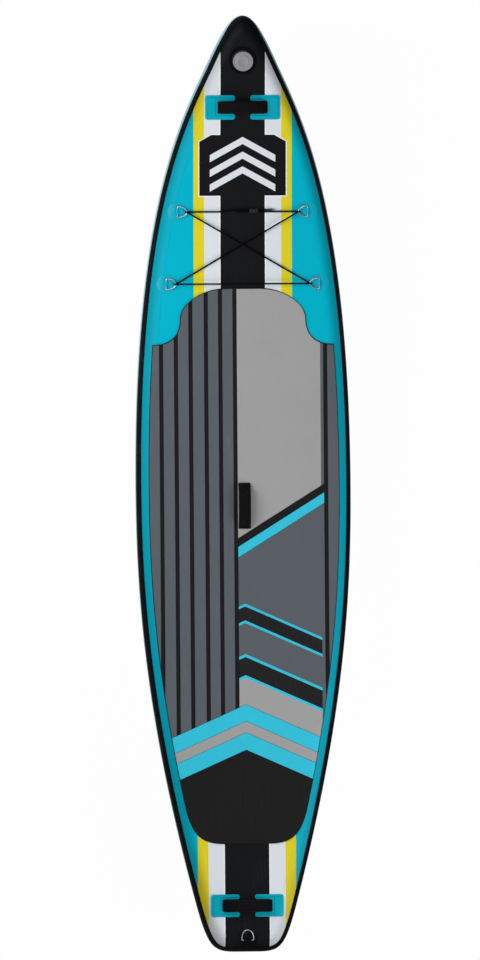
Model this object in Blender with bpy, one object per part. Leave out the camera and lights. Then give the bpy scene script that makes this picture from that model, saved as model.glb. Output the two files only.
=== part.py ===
"""Inflatable touring stand-up paddle board, with its fin, handles, valve and deck bungee.

Metres, +Y towards the nose, +X to starboard, +Z up. The origin is on the ground below the middle of
the board, level with the fin's tip. The hull is drawn flat first, as a distance from the centreline,
a distance along it and a height above the hull's middle plane. The nose rocker then lifts every piece.
"""

import math

import bmesh
import bpy
import numpy as np
from mathutils import Matrix, Vector

# Hull
LENGTH = 3.200
WIDTH = 0.738
THICKNESS = 0.150
RAIL_REACH = 0.060
FOLD_SHARE = 0.12
SKIN = 0.0012
SEAM = 0.0003
GAP = 0.0004
WELD = 1e-6
FACE_CLOTH = 0.0010
OUTLINE_STEP = 0.105
OUTLINE_TURN = math.radians(13)

# Plan outline, half a board, as distances behind the nose, half widths and handle lengths
NOSE_HANDLE = 0.050
SHOULDER_BACK = 0.196
SHOULDER_HALF = 0.136
SHOULDER_ANGLE = math.radians(25.4)
SHOULDER_FRONT_HANDLE = 0.111
SHOULDER_REAR_HANDLE = 0.219
WIDEST_BACK = 1.600
WIDEST_FRONT_HANDLE = 0.890
WIDEST_REAR_HANDLE = 0.348
TAIL_FORWARD = 0.177
TAIL_HALF = 0.176
TAIL_ANGLE = math.radians(14.8)
TAIL_FRONT_HANDLE = 0.680
TAIL_REAR_HANDLE = 0.166
TAIL_CORNER_HANDLE = 0.080
TAIL_FLAT_HALF = 0.038

# Nose rocker
ROCKER_RISE = 0.165
ROCKER_START = 0.250
ROCKER_POWER = 2.4
STATION_STEP = 0.090

# Rail section, as angles above the middle plane, and the pinstripe between two of them
SHOULDER_ANGLES = (90, 80, 64, 42, 22)
RAIL_ANGLES = SHOULDER_ANGLES + (0, -28, -60, -90)
STRIPE_PLACES = (-1.50, -1.20, -0.50, 0.20, 1.00, 1.42, 1.54, 1.60)
STRIPE_TOP = (44, 46, 47, 45, 48, 53, 53, 50)
STRIPE_BOTTOM = (14, 17, 17, 18, 21, 30, 30, 20)
STRIPE_THICK = 0.0006
STRIPE_LIFT = 0.0008

# Drop-stitch core
THREAD_PITCH_LONG = 0.300
THREAD_PITCH_WIDE = 0.150
THREAD_BUNDLE = 0.006
CORE_MARGIN = 0.008
CORE_HOLE_ROOM = 0.004

# Deck pad
PAD_FRONT_BACK = 0.929
PAD_FRONT_HALF = 0.055
PAD_NECK_HALF = 0.216
PAD_NECK_BACK = 1.036
PAD_SHOULDER_BACK = 1.1215
PAD_SIDE_INSET = 0.043
PAD_CORNER_FORWARD = 0.480
PAD_TAIL_FORWARD = 0.371
PAD_TAIL_HALF = 0.075
PAD_END_HANDLE = 0.085
PAD_NECK_FRONT_HANDLE = 0.055
PAD_NECK_REAR_HANDLE = 0.045
PAD_SHOULDER_HANDLE = 0.070
PAD_CORNER_SIDE_HANDLE = 0.022
PAD_CORNER_REAR_HANDLE = 0.075
PAD_POINT_ROOM = 0.010
PAD_BASE = 0.0025
PAD_TOP = 0.0025
PAD_LIP = 0.003
GROOVE = 0.014
GROOVE_SHARES = (-0.863, -0.707, -0.553, -0.391, -0.2408, -0.089)
EDGE_GROOVE_SHARE = 0.8598
CHEVRON_AHEAD = 0.477
CHEVRON_SLOPE = math.tan(math.radians(24))
CHEVRON_FRONT_DEEP = 0.057
CHEVRON_GREY_DEEP = 0.039
CHEVRON_REAR_DEEP = 0.059
BAND_AHEAD = 0.582
BAND_SLOPE = math.tan(math.radians(32))
BAND_BLUE_DEEP = 0.036
BAND_BLACK_DEEP = 0.030
INLAY_GAP = 0.0010

# Carry handles
HANDLE_FRONT_BACK = 0.314
HANDLE_TAIL_BACK = 3.040
HANDLE_HALF_SPAN = 0.084
HANDLE_RISE = 0.031
HANDLE_HINGE_HEIGHT = 0.015
HANDLE_ROOT_HEIGHT = 0.0027
WEBBING_WIDE = 0.038
WEBBING_THICK = 0.002
SLEEVE_WIDE = 0.042
SLEEVE_THICK = 0.010
SLEEVE_CORNER = 0.0045
SLEEVE_SETBACK = 0.003
PATCH_INNER = 0.026
FRONT_PATCH = (0.128, 0.083, 0.020)
TAIL_PATCH = (0.124, 0.077, 0.017)
PATCH_CORNER = 0.009
PATCH_THICK = 0.004
PATCH_INNER_CORNER = 0.005
STUB_BURIED = 0.008
CENTRE_HANDLE_BACK = 1.673
CENTRE_HANDLE_HALF_SPAN = 0.077
CENTRE_SLOT_LONG = 0.010
SLOT_CLEAR = 0.001

# D-rings for the deck bungee, and the leash ring at the tail
RING_WIRE = 0.004
RING_LONG = 0.036
RING_REACH = 0.03245
RING_BOW_HEIGHT = 0.0095
RING_STEPS = 14
RING_SQUARENESS = 0.85
FRONT_RING_BACK = 0.668
FRONT_RING_SHARE = 0.5176
REAR_RING_BACK = 0.914
REAR_RING_SHARE = 0.6233
RING_PATCH_RADIUS = 0.033
RING_PATCH_THICK = 0.0015
KEEPER_WIDE = 0.020
KEEPER_WALL = 0.0020
RUNNING = 0.0005
LEASH_BACK = 3.158
LEASH_LONG = 0.041
LEASH_REACH = 0.037
LEASH_PATCH_WIDE = 0.064
LEASH_PATCH_DEEP = 0.040
LEASH_PATCH_CORNER = 0.008
LEASH_SINK = 0.004

# Deck bungee and its cord lock
CORD = 0.005
CORD_LOW_CROSSING = 0.0045
CORD_HIGH_CROSSING = 0.0115
CORD_TIP = 0.106
CORD_TIP_ASIDE = 0.001
CORD_SHORT_END = -0.022
CORD_STEP = 0.066
LOCK_CENTRE = 0.038
LOCK_LONG = 0.030
LOCK_WIDE = 0.0150
LOCK_TALL = 0.0130
LOCK_STRANDS = 0.0062
LOCK_LIFT = 0.0005
LOCK_FLOOR = 0.0021
LOCK_CORNER = 0.004
LOCK_LEAD = 0.060
LOCK_EXIT = 0.045
LOCK_BUTTON = 0.0090
LOCK_BUTTON_TALL = 0.0050
LOCK_WELL_DEEP = 0.0052
LOCK_PRESS = 0.0020
LOCK_BUTTON_BEVEL = 0.0008
LOCK_SPRING_RADIUS = 0.0028
LOCK_SPRING_WIRE = 0.0006
LOCK_SPRING_TURNS = 2.5

# Inflation valve
VALVE_BACK = 0.155
VALVE_PATCH_RADIUS = 0.047
VALVE_PATCH_THICK = 0.0010
VALVE_BARREL_RADIUS = 0.0160
VALVE_BORE_RADIUS = 0.0125
VALVE_BARREL_DEEP = 0.028
VALVE_FLANGE_RADIUS = 0.037
VALVE_FLANGE_THICK = 0.003
VALVE_NECK_RADIUS = 0.0230
VALVE_NECK_TALL = 0.0110
VALVE_SEAT_RADIUS = 0.0085
VALVE_SEAT_THICK = 0.002
VALVE_NUT_RADIUS = 0.029
VALVE_NUT_THICK = 0.006
STEM_RADIUS = 0.0020
SPIDER_WIDE = 0.0050
SPIDER_THICK = 0.0030
SPIDER_DEPTH = 0.0040
SPIDER_BITE = 0.0010
PLUNGER_BUTTON_RADIUS = 0.0060
PLUNGER_BUTTON_THICK = 0.0030
PLUNGER_SINK = 0.0010
PLUNGER_DISC_RADIUS = 0.0110
PLUNGER_DISC_THICK = 0.0025
SPRING_WIRE = 0.0008
SPRING_TURNS = 3.5
CAP_RADIUS = 0.034
CAP_TOP_THICK = 0.003
CAP_SKIRT_WALL = 0.0030
CAP_BEVEL = 0.0010
CAP_SEAL_WIRE = 0.0026

# Fin and fin box
FIN_BACK = 2.880
FIN_BOX_LONG = 0.262
FIN_BOX_WIDE = 0.027
FIN_BOX_TALL = 0.024
FIN_FLANGE_LONG = 0.320
FIN_FLANGE_WIDE = 0.080
FIN_FLANGE_THICK = 0.003
FIN_FLANGE_CORNER = 0.030
FIN_BOX_CORNER = 0.012
FIN_SLOT_LONG = 0.236
FIN_SLOT_WIDE = 0.0096
FIN_SLOT_DEEP = 0.0215
FIN_GROOVE_WIDE = 0.0176
FIN_GROOVE_TALL = 0.0058
FIN_GROOVE_DEPTH = 0.0080
FIN_GROOVE_END = 0.0020
FIN_ENTRY_LONG = 0.0160
FIN_TAB_LONG = 0.140
FIN_TAB_DEEP = 0.0190
FIN_TONGUE_LONG = 0.018
FIN_TONGUE_THICK = 0.0040
FIN_TONGUE_BITE = 0.0010
FIN_JOIN = 0.0020
FIN_DEPTH = 0.200
FIN_BASE_LONG = 0.168
FIN_TIP_LONG = 0.050
FIN_RAKE = 0.105
FIN_THICK = 0.0085
FIN_LEVELS = (0.0, 0.25, 0.5, 0.72, 0.88, 0.97, 1.0)
FIN_ROUND_SHARE = 0.70
FIN_ROUND_POWER = 2.6
FIN_TIP_SHARE = 0.35
FIN_RAKE_POWER = 1.35
FIN_LEAD_SHARE = 0.28
FIN_THINNING = 0.55
FIN_PIN_RADIUS = 0.0024
FIN_PIN_LONG = 0.0164
FIN_PIN_INSET = 0.014
FIN_PIN_CLEAR = 0.0002
SCREW_RADIUS = 0.0021
SCREW_HEAD_RADIUS = 0.0042
SCREW_HEAD_TALL = 0.0026
SCREW_BEVEL = 0.0006
SCREW_PROUD = 0.0015
SCREW_ROOM = 0.012
SCREW_SIDE_ROOM = 0.002
SCREW_SLOT = (0.0011, 0.0047, 0.0023)
NUT_LONG = 0.0120
NUT_THICK = 0.0032

# What follows from the sizes above
HALF_LENGTH = LENGTH / 2
HALF_WIDTH = WIDTH / 2
PAD_HALF = HALF_WIDTH - PAD_SIDE_INSET
GROOVE_CENTRES = [share * PAD_HALF for share in GROOVE_SHARES]
EDGE_GROOVE_CENTRE = EDGE_GROOVE_SHARE * PAD_HALF
CHEVRON_APEX_BACK = LENGTH - PAD_TAIL_FORWARD - CHEVRON_AHEAD
BAND_START_BACK = CHEVRON_APEX_BACK - BAND_AHEAD
FRONT_RING_BOW = FRONT_RING_SHARE * HALF_WIDTH
REAR_RING_BOW = REAR_RING_SHARE * HALF_WIDTH
HALF_THICK = THICKNESS / 2
FLOOR_TO_HULL = FIN_DEPTH + FIN_BOX_TALL + FIN_FLANGE_THICK + GAP
MIDDLE = FLOOR_TO_HULL + HALF_THICK
PAD_BASE_LOW = GAP
PAD_TOP_LOW = PAD_BASE_LOW + PAD_BASE + GAP
PAD_SURFACE = PAD_TOP_LOW + PAD_TOP

TURQUOISE = (0.0, 0.46, 0.60)
BLACK = (0.012, 0.012, 0.014)


def clear_scene():
    """Removes whatever the file holds."""
    for thing in list(bpy.data.objects):
        bpy.data.objects.remove(thing, do_unlink=True)
    for mesh in list(bpy.data.meshes):
        bpy.data.meshes.remove(mesh)


def material(name, colour, roughness, metallic=0.0):
    """A plain finish, made once for each name."""
    if name in bpy.data.materials:
        return bpy.data.materials[name]
    made = bpy.data.materials.new(name)
    made.use_nodes = True
    shader = made.node_tree.nodes["Principled BSDF"]
    shader.inputs["Base Color"].default_value = (*colour, 1.0)
    shader.inputs["Roughness"].default_value = roughness
    shader.inputs["Metallic"].default_value = metallic
    return made


def pvc():
    return material("pvc_turquoise", TURQUOISE, 0.35)


def black_pvc():
    return material("pvc_black", BLACK, 0.4)


def black_nylon():
    return material("nylon_black", (0.015, 0.015, 0.016), 0.5)


def webbing():
    return material("webbing_black", (0.013, 0.013, 0.014), 0.85)


def steel():
    return material("stainless_steel", (0.62, 0.63, 0.64), 0.2, 1.0)


def foam(name, colour):
    return material(name, colour, 0.9)


def station(back):
    """The Y of a place that lies so far behind the nose."""
    return HALF_LENGTH - back


def rocker(y):
    """How far the nose rocker lifts the hull's middle plane at y."""
    run = HALF_LENGTH - ROCKER_START
    return ROCKER_RISE * (max(0.0, y - ROCKER_START) / run) ** ROCKER_POWER


def slope(y):
    """The rocker's angle at y."""
    run = HALF_LENGTH - ROCKER_START
    share = max(0.0, y - ROCKER_START) / run
    return math.atan(ROCKER_POWER * ROCKER_RISE / run * share ** (ROCKER_POWER - 1))


def bezier(points, steps):
    """Points along a cubic curve through four control points."""
    share = np.linspace(0.0, 1.0, steps)[:, None]
    a, b, c, d = (np.array(p, float) for p in points)
    rest = 1.0 - share
    return rest**3 * a + 3 * rest**2 * share * b + 3 * rest * share**2 * c + share**3 * d


def half_outline():
    """The starboard silhouette, nose to tail, as (x, y) points that lie closer where it turns more."""
    aim = np.array([math.sin(SHOULDER_ANGLE), -math.cos(SHOULDER_ANGLE)])
    shoulder = np.array([SHOULDER_HALF, station(SHOULDER_BACK)])
    widest = np.array([HALF_WIDTH, station(WIDEST_BACK)])
    home = np.array([-math.sin(TAIL_ANGLE), -math.cos(TAIL_ANGLE)])
    quarter = np.array([TAIL_HALF, TAIL_FORWARD - HALF_LENGTH])
    corner = np.array([TAIL_FLAT_HALF, -HALF_LENGTH])
    nose = np.array([0.0, HALF_LENGTH])
    along = np.array([0.0, 1.0])
    across = np.array([1.0, 0.0])
    spans = [
        (nose, nose + NOSE_HANDLE * across, shoulder - SHOULDER_FRONT_HANDLE * aim, shoulder),
        (shoulder, shoulder + SHOULDER_REAR_HANDLE * aim, widest + WIDEST_FRONT_HANDLE * along, widest),
        (widest, widest - WIDEST_REAR_HANDLE * along, quarter - TAIL_FRONT_HANDLE * home, quarter),
        (quarter, quarter + TAIL_REAR_HANDLE * home, corner + TAIL_CORNER_HANDLE * across, corner),
    ]
    fine = np.vstack([bezier(span, 160)[:-1] for span in spans] + [corner, [0.0, -HALF_LENGTH]])
    return resample(fine, OUTLINE_STEP, OUTLINE_TURN)


def resample(fine, longest, turn):
    """Fewer points on a fine line: one for each stretch this long, or for each turn this large."""
    steps = np.diff(fine, axis=0)
    lengths = np.hypot(steps[:, 0], steps[:, 1])
    heading = np.unwrap(np.arctan2(steps[:, 1], steps[:, 0]))
    bend_at = np.concatenate([[0.0], np.abs(np.diff(heading))])
    measure = np.concatenate([[0.0], np.cumsum(lengths / longest + bend_at / turn)])
    wanted = np.linspace(0.0, measure[-1], math.ceil(measure[-1]) + 1)
    return np.column_stack([np.interp(wanted, measure, fine[:, i]) for i in range(2)])


def inward(line):
    """Unit normals that point into the board along its starboard silhouette."""
    ahead = np.gradient(line, axis=0)
    ahead[0] = (1.0, 0.0)
    ahead[-1] = (-1.0, 0.0)
    length = np.hypot(ahead[:, 0], ahead[:, 1])
    return np.column_stack([ahead[:, 1], -ahead[:, 0]]) / length[:, None]


def inset(line, distance):
    """The silhouette moved inwards, point for point. Where that would fold, the points share one place."""
    moved = line + inward(line) * distance
    moved[-1, 0] = 0.0
    last = int(np.flatnonzero((moved[:, 0] <= 0.0) & (line[:, 1] > 0.0)).max(initial=0))
    a, b = moved[last + 1], moved[last + 2]
    apex = a[1] + (a[1] - b[1]) * a[0] / (b[0] - a[0])
    moved[: last + 1] = (0.0, apex)
    run = np.diff(line, axis=0)
    kept = np.einsum("ij,ij->i", np.diff(moved, axis=0), run)
    whole = np.einsum("ij,ij->i", run, run)
    short = np.flatnonzero((kept < FOLD_SHARE * whole) & (line[1:, 1] < 0.0))
    if len(short):
        folded = slice(short.min(), short.max() + 2)
        moved[folded] = moved[folded].mean(axis=0)
    return moved


def shrink(line, distance):
    """A line of distinct points moved inwards by a small distance, with its ends kept on the centreline."""
    fresh = np.hypot(*np.diff(line, axis=0).T) > WELD
    line = line[np.concatenate([[True], fresh])]
    run = np.diff(line, axis=0)
    run /= np.hypot(run[:, 0], run[:, 1])[:, None]
    side = np.column_stack([run[:, 1], -run[:, 0]])
    before = np.vstack([side[:1] * [-1, 1], side])
    after = np.vstack([side, side[-1:] * [-1, 1]])
    miter = (before + after) / (1 + np.einsum("ij,ij->i", before, after))[:, None]
    return line + miter * distance


OUTLINE = half_outline()
DECK_EDGE = inset(OUTLINE, RAIL_REACH)


def section(angle, offset=0.0):
    """The starboard line on the hull where its rail section reaches an angle, and that line's height."""
    out = (RAIL_REACH + offset) / RAIL_REACH * math.cos(math.radians(angle))
    return DECK_EDGE + (OUTLINE - DECK_EDGE) * out, (HALF_THICK + offset) * math.sin(math.radians(angle))


def both_sides(line):
    """A closed loop from a starboard line whose ends are on the centreline."""
    port = line[-2:0:-1] * np.array([-1.0, 1.0])
    return np.vstack([line, port])


def deck_height(x, y):
    """The height of the hull's top above its middle plane, away from the very nose."""
    away = np.hypot(OUTLINE[:, 0] - abs(x), OUTLINE[:, 1] - y)
    i = int(np.clip(away.argmin(), 1, len(OUTLINE) - 2))
    best = RAIL_REACH
    for a, b in ((OUTLINE[i - 1], OUTLINE[i]), (OUTLINE[i], OUTLINE[i + 1])):
        run = b - a
        side = abs(run[0] * (y - a[1]) - run[1] * (abs(x) - a[0])) / np.hypot(*run)
        best = min(best, side)
    return HALF_THICK * math.sqrt(max(0.0, 1 - ((RAIL_REACH - best) / RAIL_REACH) ** 2))


def mesh_object(name, bm, finish=None):
    """Makes an object from a bmesh, with smooth shading below 35 degrees."""
    mesh = bpy.data.meshes.new(name)
    bm.to_mesh(mesh)
    bm.free()
    mesh.shade_smooth()
    mesh.set_sharp_from_angle(angle=math.radians(35))
    if finish:
        mesh.materials.append(finish)
    thing = bpy.data.objects.new(name, mesh)
    bpy.context.scene.collection.objects.link(thing)
    return thing


def from_rings(rings, closed=False, caps=True):
    """A bmesh skinned over rings of points. Points in one place are merged, and flat ends are filled."""
    bm = bmesh.new()
    rows = [[bm.verts.new(p) for p in ring] for ring in rings]
    pairs = list(zip(rows, rows[1:]))
    if closed:
        pairs.append((rows[-1], rows[0]))
    for first, second in pairs:
        count = len(first)
        for i in range(count):
            j = (i + 1) % count
            bm.faces.new((first[i], first[j], second[j], second[i]))
    if caps and not closed:
        bm.faces.new(list(reversed(rows[0])))
        bm.faces.new(rows[-1])
    bmesh.ops.remove_doubles(bm, verts=bm.verts, dist=WELD)
    bmesh.ops.dissolve_degenerate(bm, dist=WELD, edges=bm.edges)
    bmesh.ops.delete(bm, geom=[e for e in bm.edges if not e.link_faces], context="EDGES")
    bmesh.ops.triangulate(bm, faces=[f for f in bm.faces if len(f.verts) > 4])
    bmesh.ops.recalc_face_normals(bm, faces=bm.faces)
    if bm.calc_volume(signed=True) < 0:
        bmesh.ops.reverse_faces(bm, faces=bm.faces)
    return bm


def prism(polygon, low, high):
    """A bmesh of a plan outline that stands from one height to another."""
    return from_rings([[(x, y, low) for x, y in polygon], [(x, y, high) for x, y in polygon]])


def box(size, centre):
    """A bmesh box."""
    bm = bmesh.new()
    bmesh.ops.create_cube(bm, size=1.0)
    bmesh.ops.scale(bm, vec=size, verts=bm.verts)
    bmesh.ops.translate(bm, vec=centre, verts=bm.verts)
    return bm


def disc(radius, centre, low, high, sides=24):
    """A bmesh of a round plate or plug that stands along Z."""
    return prism(circle(radius, centre, sides), low, high)


def rod(radius, centre, direction, length, sides=12):
    """A bmesh rod through a point, along a direction."""
    bm = bmesh.new()
    turn = Vector((0, 0, 1)).rotation_difference(Vector(direction)).to_matrix().to_4x4()
    bmesh.ops.create_cone(
        bm,
        cap_ends=True,
        segments=sides,
        radius1=radius,
        radius2=radius,
        depth=length,
        matrix=Matrix.Translation(centre) @ turn,
    )
    return bm


def turned(profile, sides=24):
    """A bmesh turned about Z from a closed outline of (radius, height) points."""
    angles = [2 * math.pi * i / sides for i in range(sides)]
    rings = [[(r * math.cos(a), r * math.sin(a), z) for r, z in profile] for a in angles]
    return from_rings(rings, closed=True, caps=False)


def circle(radius, centre=(0.0, 0.0), sides=24):
    """Points of a circle in plan."""
    angles = [2 * math.pi * i / sides for i in range(sides)]
    return [(centre[0] + radius * math.cos(a), centre[1] + radius * math.sin(a)) for a in angles]


def rounded(points, radii, steps=4):
    """A polygon with its corners rounded, one radius for each corner."""
    done = []
    count = len(points)
    for i, radius in enumerate(radii):
        here = Vector(points[i])
        before = (Vector(points[i - 1]) - here).normalized()
        after = (Vector(points[(i + 1) % count]) - here).normalized()
        if radius <= 0:
            done.append(tuple(here))
            continue
        half = before.angle(after) / 2
        centre = here + (before + after).normalized() * radius / math.sin(half)
        start = here + before * radius / math.tan(half) - centre
        end = here + after * radius / math.tan(half) - centre
        sweep = start.angle_signed(end)
        for k in range(steps + 1):
            spin = -sweep * k / steps
            done.append(tuple(centre + Matrix.Rotation(spin, 2) @ start))
    return done


def rounded_box(half_x, half_y, y, corner, steps=4):
    """A plan rectangle round (0, y) with rounded corners."""
    corners = [(-half_x, y - half_y), (half_x, y - half_y), (half_x, y + half_y), (-half_x, y + half_y)]
    return rounded(corners, [corner] * 4, steps)


def boolean(target, cutter, operation):
    """Cuts, joins or crosses two objects into the first one, and removes the second."""
    step = target.modifiers.new("step", "BOOLEAN")
    step.operation = operation
    step.solver = "EXACT"
    step.object = cutter
    graph = bpy.context.evaluated_depsgraph_get()
    graph.update()
    result = bpy.data.meshes.new_from_object(target.evaluated_get(graph))
    target.modifiers.clear()
    bm = bmesh.new()
    bm.from_mesh(result)
    bmesh.ops.remove_doubles(bm, verts=bm.verts, dist=WELD)
    bmesh.ops.dissolve_degenerate(bm, dist=WELD, edges=bm.edges)
    bm.to_mesh(result)
    bm.free()
    old = target.data
    target.data = result
    bpy.data.meshes.remove(old)
    bpy.data.meshes.remove(cutter.data)
    return target


def helper(bm):
    """A short-lived object that a boolean uses up."""
    return mesh_object("helper", bm)


def cross_stations():
    """The places along the nose where pieces get a line across, so that they all bend alike."""
    count = int((HALF_LENGTH - ROCKER_START) / STATION_STEP) + 1
    return [ROCKER_START + STATION_STEP * i for i in range(count)]


def bend(thing, cut=True):
    """Lifts a flat-drawn object by the rocker, after lines are cut across it."""
    bm = bmesh.new()
    bm.from_mesh(thing.data)
    ys = [v.co.y for v in bm.verts]
    for y in cross_stations() if cut else []:
        if min(ys) + 1e-4 < y < max(ys) - 1e-4:
            geometry = list(bm.verts) + list(bm.edges) + list(bm.faces)
            bmesh.ops.bisect_plane(bm, geom=geometry, dist=1e-5, plane_co=(0, y, 0), plane_no=(0, 1, 0))
    for vert in bm.verts:
        vert.co.z += MIDDLE + rocker(vert.co.y)
    bmesh.ops.triangulate(bm, faces=[f for f in bm.faces if len(f.verts) > 3])
    bm.to_mesh(thing.data)
    bm.free()
    return thing


def finish(thing, name, look, cut=True):
    """Names a flat-drawn object, gives it its finish and bends it."""
    thing.name = name
    thing.data.name = name
    thing.data.materials.clear()
    thing.data.materials.append(look)
    bend(thing, cut)
    thing.data.shade_smooth()
    thing.data.set_sharp_from_angle(angle=math.radians(35))
    return thing


LAYERS = {}


def layer(low, high):
    """A sheet that lies on the whole top of the hull, from one height above it to another."""
    if (low, high) not in LAYERS:
        rings = []
        for offset, angles in ((low, SHOULDER_ANGLES), (high, SHOULDER_ANGLES[::-1])):
            for angle in angles:
                line, z = section(angle, offset)
                rings.append([(x, y, z) for x, y in both_sides(line)])
        bm = from_rings(rings)
        mesh = bpy.data.meshes.new("layer")
        bm.to_mesh(mesh)
        bm.free()
        LAYERS[low, high] = mesh
    thing = bpy.data.objects.new("helper", LAYERS[low, high].copy())
    bpy.context.scene.collection.objects.link(thing)
    return thing


def hull_top(offset):
    """A solid that fills the hull from its middle up to a height above its top."""
    rings = [[(x, y, 0.0) for x, y in both_sides(section(SHOULDER_ANGLES[-1], offset)[0])]]
    for angle in reversed(SHOULDER_ANGLES):
        line, z = section(angle, offset)
        rings.append([(x, y, z) for x, y in both_sides(line)])
    return helper(from_rings(rings))


def patch(polygon, low, high):
    """A piece of sheet of a plan outline that lies on the hull's top."""
    return boolean(layer(low, high), helper(prism(polygon, 0.0, THICKNESS)), "INTERSECT")


def skin_plate(low, high, edge):
    """A flat plate over the deck's edge line."""
    return helper(prism([tuple(p) for p in both_sides(edge)], low, high))


def make_core():
    """The two woven faces and the thread bundles that hold them apart."""
    edge = shrink(DECK_EDGE, CORE_MARGIN)
    top = HALF_THICK - SKIN - SEAM
    core = skin_plate(top - FACE_CLOTH, top, edge)
    boolean(core, skin_plate(-top, FACE_CLOTH - top, edge), "UNION")
    bundles = bmesh.new()
    reach = 2 * top - FACE_CLOTH
    rows = int(LENGTH / 2 / THREAD_PITCH_LONG)
    columns = int(WIDTH / 2 / THREAD_PITCH_WIDE)
    for i in range(-rows, rows + 1):
        y = i * THREAD_PITCH_LONG
        if abs(y) > min(-edge[-1, 1], edge[0, 1]):
            continue
        room = np.interp(-y, -edge[:, 1], edge[:, 0]) - THREAD_BUNDLE
        for j in range(-columns, columns + 1):
            x = j * THREAD_PITCH_WIDE
            if abs(x) < room:
                bundle = box((THREAD_BUNDLE, THREAD_BUNDLE, reach), (x, y, 0))
                part = bpy.data.meshes.new("bundle")
                bundle.to_mesh(part)
                bundle.free()
                bundles.from_mesh(part)
                bpy.data.meshes.remove(part)
    boolean(core, helper(bundles), "UNION")
    hole = disc(VALVE_NUT_RADIUS + CORE_HOLE_ROOM, (0, station(VALVE_BACK)), 0.0, THICKNESS)
    boolean(core, helper(hole), "DIFFERENCE")
    return finish(core, "drop_stitch_core", material("drop_stitch", (0.75, 0.75, 0.72), 0.9))


def make_skins():
    """The bottom sheet, and the two deck sheets that meet under the pad where the nose begins to rise."""
    edge = shrink(DECK_EDGE, SEAM)
    for name, side in (("deck_skin_fore", 1), ("deck_skin_aft", -1)):
        deck = skin_plate(HALF_THICK - SKIN, HALF_THICK, edge)
        start = ROCKER_START + side * SEAM / 2
        length = box((WIDTH, LENGTH, THICKNESS), (0, start + side * LENGTH / 2, HALF_THICK))
        boolean(deck, helper(length), "INTERSECT")
        if side > 0:
            hole = disc(VALVE_BARREL_RADIUS + GAP, (0, station(VALVE_BACK)), 0.0, THICKNESS)
            boolean(deck, helper(hole), "DIFFERENCE")
        finish(deck, name, pvc())
    bottom = skin_plate(-HALF_THICK, SKIN - HALF_THICK, edge)
    finish(bottom, "bottom_skin", material("pvc_white", (0.78, 0.8, 0.8), 0.35))


def rail_ring(i, angles, outer, inner):
    """The closed cross-section of a rail strip at one point of the starboard outline."""
    ring = []
    for offset, order in ((outer, angles), (inner, angles[::-1])):
        for angle in order:
            line, z = section(angle, offset)
            ring.append((line[i, 0], line[i, 1], z))
    return ring


def make_rails():
    """The rail bands, one to each side, which meet at the nose and the tail."""
    for side, name in ((1, "rail_starboard"), (-1, "rail_port")):
        rings = [rail_ring(i, RAIL_ANGLES, 0.0, -SKIN) for i in range(len(OUTLINE))]
        for end in (0, -1):
            rings[end] = [(SEAM / 2, y, z) for _, y, z in rings[end]]
        apart = [[(side * max(x, SEAM / 2), y, z) for x, y, z in ring] for ring in rings]
        rail = helper(from_rings(apart))
        finish(rail, name, pvc(), cut=False)


def make_rail_stripe():
    """The black tape that runs round the whole board on the rail's upper shoulder."""
    starboard = []
    for i, (_, y) in enumerate(OUTLINE):
        top = float(np.interp(y, STRIPE_PLACES, STRIPE_TOP))
        bottom = float(np.interp(y, STRIPE_PLACES, STRIPE_BOTTOM))
        angles = (top, (top + bottom) / 2, bottom)
        starboard.append(rail_ring(i, angles, STRIPE_LIFT + STRIPE_THICK, STRIPE_LIFT))
    port = [[(-x, y, z) for x, y, z in ring] for ring in starboard[-2:0:-1]]
    stripe = helper(from_rings(starboard + port, closed=True, caps=False))
    finish(stripe, "rail_stripe", black_pvc(), cut=False)


def pad_outline(lip):
    """The deck pad's plan, symmetric, shrunk by a lip."""
    side = inset(OUTLINE, PAD_SIDE_INSET + lip)
    side = (side[1:] + side[:-1]) / 2
    front = station(PAD_FRONT_BACK) - lip
    neck = (PAD_NECK_HALF - lip, station(PAD_NECK_BACK))
    shoulder_y = station(PAD_SHOULDER_BACK) - lip
    shoulder = (np.interp(-shoulder_y, -side[:, 1], side[:, 0]), shoulder_y)
    nose = (PAD_FRONT_HALF, front)
    neck_start = (neck[0], neck[1] + PAD_NECK_FRONT_HANDLE)
    head = bezier((nose, (nose[0] + PAD_END_HANDLE, front), neck_start, neck), 8)
    flare_start = (neck[0], neck[1] - PAD_NECK_REAR_HANDLE)
    flare = bezier((neck, flare_start, (shoulder[0] - PAD_SHOULDER_HANDLE, shoulder_y), shoulder), 7)
    corner_y = PAD_CORNER_FORWARD - HALF_LENGTH
    corner = (np.interp(-corner_y, -side[:, 1], side[:, 0]), corner_y)
    rear = PAD_TAIL_FORWARD - HALF_LENGTH + lip
    tail = (PAD_TAIL_HALF, rear)
    foot_start = (corner[0] - PAD_CORNER_SIDE_HANDLE, corner_y - PAD_CORNER_REAR_HANDLE)
    foot = bezier((corner, foot_start, (tail[0] + PAD_END_HANDLE, rear), tail), 8)
    ahead_of_corner = side[:, 1] > corner_y + PAD_POINT_ROOM
    between = side[(side[:, 1] < shoulder_y - PAD_POINT_ROOM) & ahead_of_corner]
    half = np.vstack([head, flare[1:], between, foot])
    port = half[::-1] * np.array([-1.0, 1.0])
    return [tuple(p) for p in np.vstack([half, port])]


def chevron(x, deep):
    """The Y of a chevron line at x, so far behind the first one."""
    return station(CHEVRON_APEX_BACK + deep) - abs(x) * CHEVRON_SLOPE


def strip(x0, x1, front, rear):
    """A plan strip between two X values whose ends follow functions of x, with a point on the middle line."""
    xs = [x0, 0.0, x1] if x0 < 0.0 < x1 else [x0, x1]
    return [(x, rear(x)) for x in xs] + [(x, front(x)) for x in reversed(xs)]


def band(x, deep):
    """The Y of a slanted line across the pad's starboard field."""
    return station(BAND_START_BACK + deep) + x * BAND_SLOPE


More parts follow.
